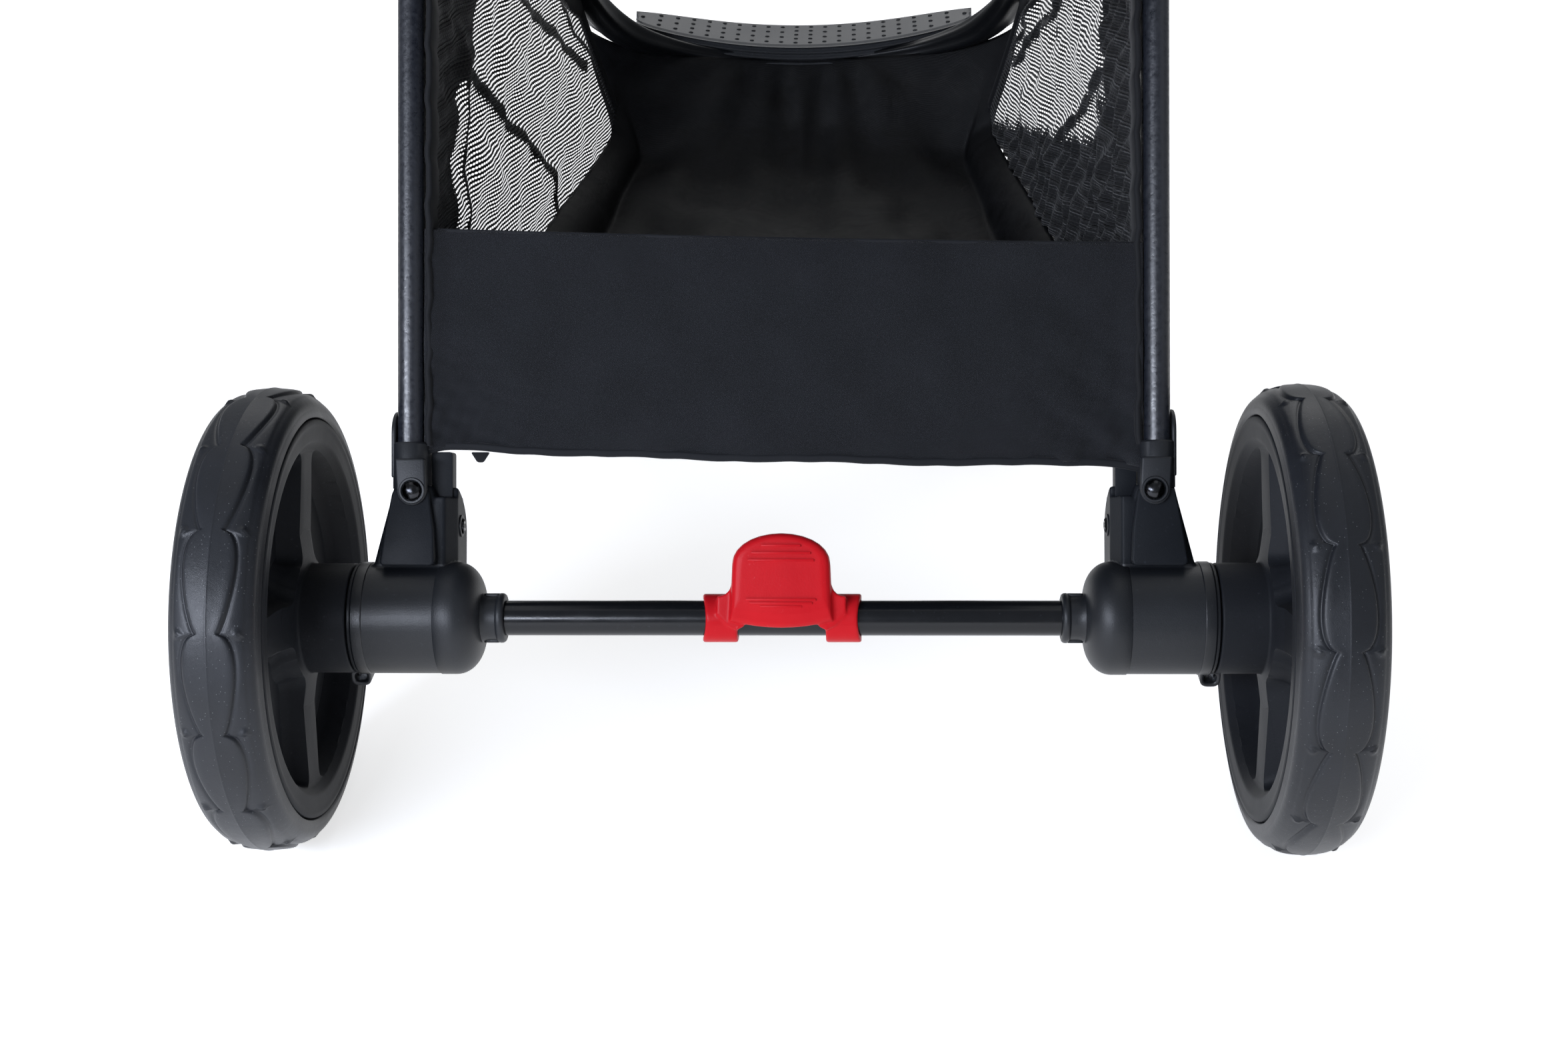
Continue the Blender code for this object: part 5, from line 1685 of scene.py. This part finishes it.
def caster_axle(word, centre):
    """A steel axle with a domed head, a hexagon nut and their washers."""
    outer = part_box(f"caster_axle_{word}")[1].x - centre.x
    rod = lathe("rod", [(-outer + 0.004, 0.0048), (outer - 0.004, 0.0048)], centre, 1, 24)
    parts = [rod]
    for side in (-1, 1):
        parts.append(
            lathe(
                "washer",
                [(outer - 0.0030, 0.0088), (outer - 0.0016, 0.0088), (outer - 0.0014, 0.0050)],
                centre, side, 32, soft=0.0003,
            )
        )
    dome = [
        (outer - 0.0016, 0.0068), (outer - 0.0008, 0.0066), (outer, 0.0042),
        (outer + 0.0002, 0.0014),
    ]
    parts.append(lathe("head", dome, centre, 1, 32, soft=0.0005))
    parts.append(
        lathe(
            "nut",
            [(outer - 0.0016, 0.0066), (outer - 0.0004, 0.0066), (outer, 0.0056), (outer, 0.0030)],
            centre, -1, 6,
        )
    )
    axle = joined(f"front_axle_{word}", parts)
    dress(axle, f"caster_{word}", STEEL, [f"caster_axle_{word}"], sharp=30)


def caster_leg(word, centre, stem_y):
    """The socket for the fork's stem, and the strut that clasps the front tube."""
    low = 0.2105
    socket = lathe(
        "socket",
        [
            (low, 0.0150), (low + 0.0016, 0.0165), (low + 0.0420, 0.0165), (low + 0.0460, 0.0130),
            (low + 0.0465, 0.0040),
        ],
        Vector((centre.x, stem_y, 0)),
        1,
        48,
        axis="Z",
    )

    def beside(a, b, depth):
        return Vector((centre.x + depth, a, b))

    strut = [
        (stem_y + 0.0048, low + 0.0080),
        (stem_y + 0.0100, low + 0.0420),
        (AXLE.y + 0.5955, 0.3080),
        (AXLE.y + 0.5935, 0.3165),
        (AXLE.y + 0.5720, 0.3230),
        (AXLE.y + 0.5600, 0.3300),
        (AXLE.y + 0.5480, 0.3300),
        (AXLE.y + 0.5470, 0.3120),
        (AXLE.y + 0.5600, 0.2940),
        (AXLE.y + 0.6115, 0.2625),
        (stem_y - 0.0100, low + 0.0080),
    ]
    strut = slab("strut", rounded(strut, 0.0050, 4), -0.0108, 0.0108, beside, 0.0018)
    leg = fused(f"caster_strut_{word}", [socket, strut], 0.0009, 5)
    screws = []
    for a, b in ((0.5800, 0.3060), (0.6080, 0.2780)):
        for depth in (-1, 1):
            place = Vector((centre.x, AXLE.y + a, b))
            screws.append(
                lathe(
                    "screw",
                    [(0.0100, 0.0044), (0.0115, 0.0044), (0.0120, 0.0036), (0.0116, 0.0016)], place,
                    depth, 24,
                )
            )
    screws = joined(f"strut_screws_{word}", screws)
    dress(leg, "front_frame", PLASTIC, [f"caster_leg_{word}"])
    dress(screws, "front_frame", RIVET)


def casters():
    for word, _ in SIDES:
        centre = middle(f"front_tyre_{word}")
        stem_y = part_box(f"caster_leg_{word}")[1].y - 0.0165
        caster_fork(word, centre, stem_y)
        caster_axle(word, centre)
        caster_leg(word, centre, stem_y)


# ---------------------------------------------------------------- fold hubs and push bar


def hub_disc(name, start, end, radius, side, notches=0):
    """A disc on the fold axis with softened edges and a ribbed rim."""
    profile = [
        (start, 0.0085), (start, radius - 0.0016), (start + 0.0016, radius), (end - 0.0016, radius),
        (end, radius - 0.0016), (end, radius - 0.0060), (end - 0.0008, radius - 0.0075),
        (end - 0.0008, 0.0085),
    ]
    disc = lathe(name, profile, HUB, side, 96, soft=0.0008, closed=True)
    cutters = []
    for step in range(notches):
        turn = 2 * math.pi * step / notches
        place = HUB + Vector(
            (0, (radius + 0.0012) * math.cos(turn), (radius + 0.0012) * math.sin(turn))
        )
        cutters.append(
            lathe("notch", [(start + 0.0030, 0.0020), (end - 0.0030, 0.0020)], place, side, 12)
        )
    if cutters:
        cut(disc, [joined("notches", cutters)])
    return disc


def hubs():
    push = (Vector((0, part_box("handle_grip")[0].y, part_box("handle_grip")[1].z)) - HUB).normalized()
    for word, side in SIDES:
        front = hub_disc("front_disc", 0.1745, 0.1905, 0.0340, side, 30)
        boss = lathe("boss", [(0.1742, 0.0080), (0.2160, 0.0080)], HUB, side, 40)
        cover = lathe(
            "cover", [(0.1745, 0.0210), (0.1752, 0.0215), (0.1752, 0.0060)], HUB, side, 48,
        )
        line = [ahead(side * 0.1830, a, z) for a, z in ((0.2560, 0.5994), (0.2790, 0.5748))]
        neck = sweep("sleeve", line, oval_section(0.0155, 0.0270, 24), Vector((0, 0.66, 0.75)))
        bevel(neck, 0.0010, 3)
        front = joined(f"front_hub_{word}", [front, boss, cover, neck])
        dress(front, "front_frame", PLASTIC, [f"frame_hub_{word}"])

        rear = hub_disc("rear_disc", 0.1925, 0.2075, 0.0330, side, 30)
        top = (HUB - AXLE).length
        rows = []
        for up, grow in ((top - 0.0500, 0.0010), (top - 0.0495, 0.0022), (top - 0.0240, 0.0022)):
            section = oval_section(0.0140 + grow, 0.0300 + grow, 32)
            rows.append([on_leg(side * LEG_X + a, b, up) for a, b in section])
        cuff = face_outwards(skin("cuff", rows, wrap_columns=True, capped=True))
        rear = joined(f"rear_hub_{word}", [rear, cuff])
        dress(rear, "rear_frame", PLASTIC, [f"leg_hub_{word}"])

        disc = hub_disc("handle_disc", 0.2095, 0.2255, 0.0340, side, 30)
        bezel = lathe(
            "bezel",
            [
                (0.2180, 0.0122), (0.2262, 0.0122), (0.2262, 0.0150), (0.2250, 0.0165),
                (0.2180, 0.0165),
            ],
            HUB, side, 72, soft=0.0006, closed=True,
        )
        back = lathe("back", [(0.2150, 0.0125), (0.2185, 0.0125)], HUB, side, 48)
        start = HUB + Vector((side * 0.2175, 0, 0))
        deep = Vector((0, -push.z, push.y))
        cuff = sweep(
            "sleeve", [start + push * 0.0270, start + push * 0.0470],
            oval_section(0.0160, 0.0262, 28), deep,
        )
        bevel(cuff, 0.0010, 3)
        outer = joined(f"outer_hub_{word}", [disc, bezel, back, cuff])
        dress(outer, "handle", PLASTIC, [f"handle_hub_{word}"])

        profile = [
            (0.2220, 0.0119), (0.2284, 0.0119), (0.2296, 0.0108), (0.2290, 0.0060),
            (0.2284, 0.0010),
        ]
        button = lathe(f"button_{word}", profile, HUB, side, 56, soft=0.0006)
        dress(
            button, f"fold_button_{word}", PLASTIC_SMOOTH,
            [f"fold_button_{word}"],
        )


def push_bar():
    """The push bar's two rising tubes and crossbar, and the foam round the crossbar."""
    low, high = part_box("handle_grip")
    top = (low + high) / 2
    push = top - HUB
    push = (push - Vector((push.x, 0, 0))).normalized()
    deep = Vector((0, -push.z, push.y))
    across, bend = 0.2175, 0.060
    start = HUB + push * 0.0240
    path = []
    for share in np.linspace(0, 1, 14):
        path.append(start.lerp(top - push * bend, share) + Vector((across, 0, 0)))
    for step in range(1, 15):
        turn = math.pi / 2 * step / 14
        centre = top - push * bend + Vector((across - bend, 0, 0))
        path.append(centre + Vector((bend * math.cos(turn), 0, 0)) + push * (bend * math.sin(turn)))
    path += [Vector((-p.x, p.y, p.z)) for p in reversed(path)]
    tube = sweep("push_bar", path, oval_section(0.0140, 0.0240, 32), deep)
    dress(tube, "handle", LEG_PAINT, ["handle_tube"])

    rows = []
    half = high.x
    for x in np.linspace(-half, half, 140):
        end = min(1.0, (half - abs(x)) / 0.0045)
        swell = 0.0150 + 0.0018 * math.sqrt(max(0.0, 1 - (1 - end) ** 2))
        swell += 0.00018 * math.sin(x * 1150) * min(1.0, (half - abs(x)) / 0.02)
        if half - abs(x) < 1e-9:
            swell = 0.0122
        section = oval_section(2 * swell, 2 * swell + 0.006, 48)
        rows.append([Vector((x, top.y, top.z)) + push * a + deep * b for a, b in section])
    grip = face_outwards(skin("grip", rows, wrap_columns=True, capped=True))
    dress(grip, "handle", FOAM, ["handle_grip"])
    ends = []
    for side in (-1, 1):
        line = [Vector((side * x, top.y, top.z)) for x in (half - 0.0005, half + 0.0055)]
        ends.append(sweep("grip_end", line, oval_section(0.0280, 0.0350, 40), deep))
    ends = joined("grip_ends", ends)
    bevel(ends, 0.0014, 3)
    dress(ends, "handle", PLASTIC_SMOOTH)


# ---------------------------------------------------------------- pet cabin


def rounded_box_line(half_x, back, front, radius, step=0.006):
    """A closed rounded rectangle seen from above, as evenly spaced points and outward normals."""
    arcs = (
        (half_x - radius, front - radius, 0), (-half_x + radius, front - radius, 90),
        (-half_x + radius, back + radius, 180), (half_x - radius, back + radius, 270),
    )
    outline = []
    for x, y, start in arcs:
        for angle in np.linspace(start, start + 90, 14):
            turn = math.radians(angle)
            outline.append((x + radius * math.cos(turn), y + radius * math.sin(turn)))
    outline = np.array(outline + outline[:1])
    lengths = np.concatenate([[0], np.cumsum(np.linalg.norm(np.diff(outline, axis=0), axis=1))])
    count = int(lengths[-1] / step)
    places = np.linspace(0, lengths[-1], count, endpoint=False)
    x = np.interp(places, lengths, outline[:, 0])
    y = np.interp(places, lengths, outline[:, 1])
    tangent = np.stack([np.roll(x, -1) - np.roll(x, 1), np.roll(y, -1) - np.roll(y, 1)], axis=1)
    tangent /= np.linalg.norm(tangent, axis=1)[:, None]
    return np.stack([x, y], axis=1), np.stack([tangent[:, 1], -tangent[:, 0]], axis=1), lengths[-1]


def loop_sheet(name, outline, normals, levels, offset):
    """A sheet round a closed outline; offset(i, j) gives how far it stands out."""
    rows = []
    for level in levels:
        out = offset(level, np.arange(len(outline)))
        rows.append(
            np.stack(
                [
                    outline[:, 0] + normals[:, 0] * out, outline[:, 1] + normals[:, 1] * out,
                    np.full(len(outline), level),
                ],
                axis=1,
            )
        )
    grid = np.array(rows)
    grid = np.concatenate([grid, grid[:, :1]], axis=1)
    return edit_mesh(
        skin(name, grid),
        lambda mesh: bmesh.ops.remove_doubles(mesh, verts=mesh.verts, dist=0.00001),
    )


def cabin():
    low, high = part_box("cabin_tub")
    half, back, front = high.x, low.y, high.y
    outline, normals, length = rounded_box_line(half - 0.0032, back + 0.0032, front - 0.0032, 0.052)
    around = np.arange(len(outline)) / len(outline) * length

    def wall(level, index):
        share = (level - low.z) / (high.z - low.z)
        sag = -0.0035 * max(
            0.0, math.sin(math.pi * share),
        ) ** 0.7 - 0.0080 * max(0.0, 1 - share * 9) ** 2
        creases = 0.0016 * ripples(around[index], np.full(len(index), level), 41, 0.090)
        puckers = 0.0009 * np.sin(around[index] * 2 * math.pi / 0.021) * (
            math.exp(-(((share - 0.03) / 0.05) ** 2)) + math.exp(-(((share - 0.97) / 0.04) ** 2))
        )
        curl = 0.0058 * float(smoothstep((share - 0.97) / 0.03))
        return sag + creases * math.sin(math.pi * share) + puckers + curl

    levels = np.concatenate(
        [
            np.linspace(low.z + 0.0010, high.z - 0.0060, 42),
            high.z + np.array([-0.0030, 0.0, 0.0030, 0.0060]),
        ]
    )
    tub = loop_sheet("cabin_wall", outline, normals, levels, wall)
    thicken(tub, 0.0026)
    floor = []
    inner, _, _ = rounded_box_line(half - 0.0120, back + 0.0120, front - 0.0120, 0.046, 0.010)
    centre = inner.mean(axis=0)
    for share in np.linspace(0.02, 1.0, 26):
        ring = centre + (inner - centre) * share
        drop = 0.0006 * np.cos(ring[:, 0] * 60) * np.cos(ring[:, 1] * 45)
        floor.append(
            np.stack([ring[:, 0], ring[:, 1], low.z + 0.0022 + drop * (1 - share**4)], axis=1)
        )
    floor = np.array(floor)
    base = skin("cabin_base", np.concatenate([floor, floor[:, :1]], axis=1))
    lay_flat(base, "xy")
    thicken(base, 0.0020)
    dress(tub, None, CABIN_CLOTH, ["cabin_tub"], sharp=None)
    dress(base, None, CABIN_CLOTH, sharp=None)
    piping = []
    for level, radius, out in (
        (low.z + 0.0035, 0.0022, -0.0030), (high.z - 0.0560, 0.0014, 0.0006),
    ):
        line = [Vector((*(point + normal * out), level)) for point, normal in zip(outline, normals)]
        piping.append(sweep("cabin_piping", line, cord_section(radius, 8), UPWARDS, closed=True))
    piping = joined("cabin_piping", piping)
    dress(piping, "front_frame", BINDING)
    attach(tub, "front_frame")
    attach(base, "front_frame")
    cabin_windows(high.z, back, front, half)
    cabin_rim(outline, normals, high.z)
    carry_over("floor_board", PLASTIC)
    mattress()


def cabin_windows(top, back, front, half):
    """A bound net window in each side wall."""
    centre_y, centre_z = (back + front) / 2 + 0.055, top - 0.112
    for word, side in SIDES:
        x = side * (half + 0.0004)
        corners = block(0.105, -0.042, 0.042)
        outline = rounded(corners, 0.026, 7)
        frame_line = []
        for corner in outline:
            frame_line.append(Vector((x, centre_y + corner.x, centre_z + corner.y)))
        tape = sweep(
            "window_tape", frame_line, oval_section(0.0026, 0.0090, 12), UPWARDS, closed=True,
        )
        rows = []
        for share in np.linspace(0.02, 1.0, 18):
            row = []
            for corner in outline:
                belly = 0.0016 * (1 - share**2)
                row.append(
                    (x - side * belly, centre_y + corner.x * share, centre_z + corner.y * share)
                )
            rows.append(row)
        rows = np.array(rows)
        net = skin(f"window_net_{word}", np.concatenate([rows, rows[:, :1]], axis=1))
        lay_flat(net, "yz")
        tape.name = f"window_tape_{word}"
        dress(tape, "front_frame", BINDING)
        dress(net, None, NET, sharp=None)
        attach(net, "front_frame")


def cabin_rim(outline, normals, top):
    """The rim's tube in its fabric sleeve, with its two hub tabs and two canopy posts."""
    tube_z = top + 0.0073
    line = []
    for i, (point, normal) in enumerate(zip(outline, normals)):
        gather = 0.0003 * math.sin(i * 1.9) + 0.0002 * math.sin(i * 4.7)
        line.append(Vector((*(point + normal * (0.0052 + gather)), tube_z)))
    sleeve_piece = sweep("rim_sleeve", line, cord_section(0.0069, 20), UPWARDS, closed=True)
    sleeve_piece.data.materials.append(BINDING)
    parts = [sleeve_piece]
    for _, side in SIDES:

        def beside(a, b, depth, s=side):
            return Vector((s * depth, a, b))

        tab = rounded(
            [
                (HUB.y - 0.0236, HUB.z - 0.0196), (HUB.y + 0.0236, HUB.z - 0.0196),
                (HUB.y + 0.0200, tube_z), (HUB.y - 0.0200, tube_z),
            ],
            0.0060, 5,
        )
        plate = slab("tab", tab, 0.1662, 0.1738, beside, 0.0012)
        plate.data.materials.append(PLASTIC)
        post = [(CANOPY_PIVOT.y - 0.0136, tube_z), (CANOPY_PIVOT.y + 0.0136, tube_z)]
        post += arc(CANOPY_PIVOT.y, CANOPY_PIVOT.z, 0.0118, 0, math.pi, 13)
        post = slab("post", post, 0.1574, 0.1678, beside, 0.0012)
        post.data.materials.append(PLASTIC)
        cap = lathe(
            "cap", [(0.1660, 0.0066), (0.1690, 0.0066), (0.1698, 0.0056), (0.1694, 0.0020)],
            CANOPY_PIVOT, side, 32,
        )
        cap.data.materials.append(RIVET)
        parts += [plate, post, cap]
    rim = joined("rim", parts)
    dress(rim, "front_frame", None, ["cabin_rim"])


def mattress():
    """A stuffed pad with a piped edge and sewn cross channels."""
    low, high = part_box("mattress")
    inset = 0.0065
    outline, _, _ = rounded_box_line(high.x - inset, low.y + inset, high.y - inset, 0.040, 0.010)
    rows = []
    for z, pull in (
        (low.z + 0.0015, 0.010), (low.z + 0.0060, 0.002), (high.z - 0.0110, 0.002),
        (high.z - 0.0060, 0.010),
    ):
        centre = outline.mean(axis=0)
        ring = centre + (outline - centre) * (1 - pull / 0.15)
        rows.append([(x, y, z) for x, y in ring])
    pad = face_outwards(skin("pad", rows, wrap_columns=True, capped=True))
    remesh = pad.modifiers.new("remesh", "REMESH")
    remesh.mode = "VOXEL"
    remesh.voxel_size = 0.005
    bake_modifiers(pad)
    before = np.array([vertex.co for vertex in pad.data.vertices])
    inflate(pad)
    after = np.array([vertex.co for vertex in pad.data.vertices])
    move = after - before
    size = np.linalg.norm(move, axis=1)[:, None]
    after = before + move * np.minimum(1.0, 0.006 / np.maximum(size, 1e-9))
    subdivide = pad.modifiers.new("subdivide", "SUBSURF")
    subdivide.levels = 1
    pad.data.vertices.foreach_set("co", after.astype(np.float32).ravel())
    bake_modifiers(pad)
    points = np.array([vertex.co for vertex in pad.data.vertices])
    upper = smoothstep((points[:, 2] - (low.z + high.z) / 2) / 0.006)
    y = (points[:, 1] - low.y) / (high.y - low.y)
    for place in (0.2, 0.4, 0.6, 0.8):
        points[:, 2] -= 0.0042 * np.exp(-(((y - place) / 0.010) ** 2)) * upper
        points[:, 2] += 0.0006 * np.sin(points[:, 0] * 520) * np.exp(
            -(((y - place) / 0.018) ** 2)
        ) * upper
    edge = np.minimum(
        high.x - np.abs(points[:, 0]), np.minimum(points[:, 1] - low.y, high.y - points[:, 1]),
    )
    points[:, 2] -= 0.0014 * np.exp(-(((edge - 0.016) / 0.0035) ** 2)) * upper
    points[:, 2] = np.clip(points[:, 2], low.z + 0.0002, high.z - 0.0004)
    points[:, 0] = np.clip(points[:, 0], -high.x, high.x)
    points[:, 1] = np.clip(points[:, 1], low.y, high.y)
    pad.data.vertices.foreach_set("co", points.astype(np.float32).ravel())
    pad.name = "mattress_pad"
    dress(pad, None, COTTON, ["mattress"], sharp=None)
    line = [
        Vector((x, y, (low.z + high.z) / 2)) for x,
        y in rounded_box_line(high.x - 0.0030, low.y + 0.0030, high.y - 0.0030, 0.042)[0]
    ]
    piping = sweep("mattress_piping", line, cord_section(0.0024, 10), UPWARDS, closed=True)
    dress(piping, "front_frame", BINDING)
    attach(pad, "front_frame")


def inflate(pad):
    """Blows the pad up against its own cloth for twenty frames."""
    cloth = pad.modifiers.new("cloth", "CLOTH")
    cloth.settings.use_pressure = True
    cloth.settings.uniform_pressure_force = 4.0
    cloth.settings.effector_weights.gravity = 0.0
    cloth.settings.quality = 5
    scene = bpy.context.scene
    for number in range(1, 21):
        scene.frame_set(number)
        bpy.context.view_layer.update()
    mesh = evaluated(pad)
    pad.modifiers.clear()
    scene.frame_set(1)
    pad.data = mesh


# ---------------------------------------------------------------- canopy


def hoop_line(half, length, corner, steps=16):
    """A hoop in its own plane, from foot to foot: (across, up)."""
    outline = [(half, b) for b in np.linspace(0.0, length - corner, 10)]
    for step in range(1, steps + 1):
        turn = math.pi / 2 * step / steps
        outline.append(
            (half - corner + corner * math.cos(turn), length - corner + corner * math.sin(turn))
        )
    across = [(a, length) for a in np.linspace(half - corner, 0, 8)[1:]]
    outline += across
    return outline + [(-a, b) for a, b in reversed(outline[:-1])]


def at_angle(degrees, a, b):
    turn = math.radians(degrees)
    return CANOPY_PIVOT + Vector((a, b * math.sin(turn), b * math.cos(turn)))


def canopy_hoops():
    for name, body, angle, inset in (
        ("middle", "canopy_middle", 0, 0.0), ("front", "canopy_front", 58, 0.0045),
    ):
        turn = math.radians(angle)
        normal = Vector((0, math.cos(turn), -math.sin(turn)))
        line = [
            at_angle(
                angle, a - math.copysign(inset, a) if abs(a) > 0.01 else a,
                b - inset if b > 0.01 else 0,
            ) for a,
            b in hoop_line(0.1520, 0.300, 0.075)
        ]
        hoop = sweep(f"hoop_{name}", line, oval_section(0.0034, 0.0110, 16), normal)
        dress(hoop, body, RIVET, [f"canopy_hoop_{name}"])


def canopy_panel(name, node, angles, lengths, rows=64):
    """One curved sheet of cloth between two hoops, slack between them."""
    start, end = angles
    grid = []
    for share in np.linspace(0, 1, rows):
        angle = start + (end - start) * share
        length = lengths[0] + (lengths[1] - lengths[0]) * math.sin(share * math.pi / 2)
        slack = 0.0060 * math.sin(math.pi * share)
        row = []
        line = hoop_line(0.1558, length + 0.0038, 0.0788)
        count = len(line)
        for j, (a, b) in enumerate(line):
            round_it = abs(2 * j / (count - 1) - 1)
            dip = slack * (1 - round_it**4)
            crease = 0.0016 * math.sin(angle * 0.19 + 9 * round_it) * math.sin(math.pi * share)
            shrink = 1 - (dip + crease) / max(length, 0.1)
            row.append(at_angle(angle, a * shrink, max(b * shrink, 0.045)))
        grid.append(row)
    sheet = skin(name, grid)
    thicken(sheet, 0.0016)
    dress(sheet, None, CABIN_CLOTH, [node], sharp=None)
    edges = []
    for row in (grid[0], grid[-1]):
        edges.append(
            sweep("edge", [Vector(p) for p in row], cord_section(0.0021, 8), Vector((0.3, 0.5, 1)))
        )
    edge = joined(f"{name}_piping", edges)
    dress(edge, None, BINDING)
    return sheet, edge, np.array(grid)


def blend_round_pivot(pieces):
    """Bakes the placement of cloth between two hoops into its mesh; it does not turn with either hoop.
    """
    for piece in pieces:
        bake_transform(piece)


def canopy():
    canopy_hoops()
    panels = (
        (
            "canopy_rear_cloth", "canopy_panel_rear", ("front_frame", "canopy_middle"), (-82, -1.2),
            (0.190, 0.300),
        ),
        (
            "canopy_front_cloth", "canopy_panel_front", ("canopy_middle", "canopy_front"),
            (1.2, 58), (0.300, 0.300),
        ),
    )
    for name, node, bodies, angles, lengths in panels:
        sheet, edge, grid = canopy_panel(name, node, angles, lengths)
        blend_round_pivot((sheet, edge))


# ---------------------------------------------------------------- build


studio()
rear_wheels()
rear_corners()
brake_bar()
pedal()
basket_panel()
basket_sides()
basket_lining()
leg_bindings()
front_tube()
footrest()
front_wheels()
casters()
hubs()
push_bar()
cabin()
canopy()
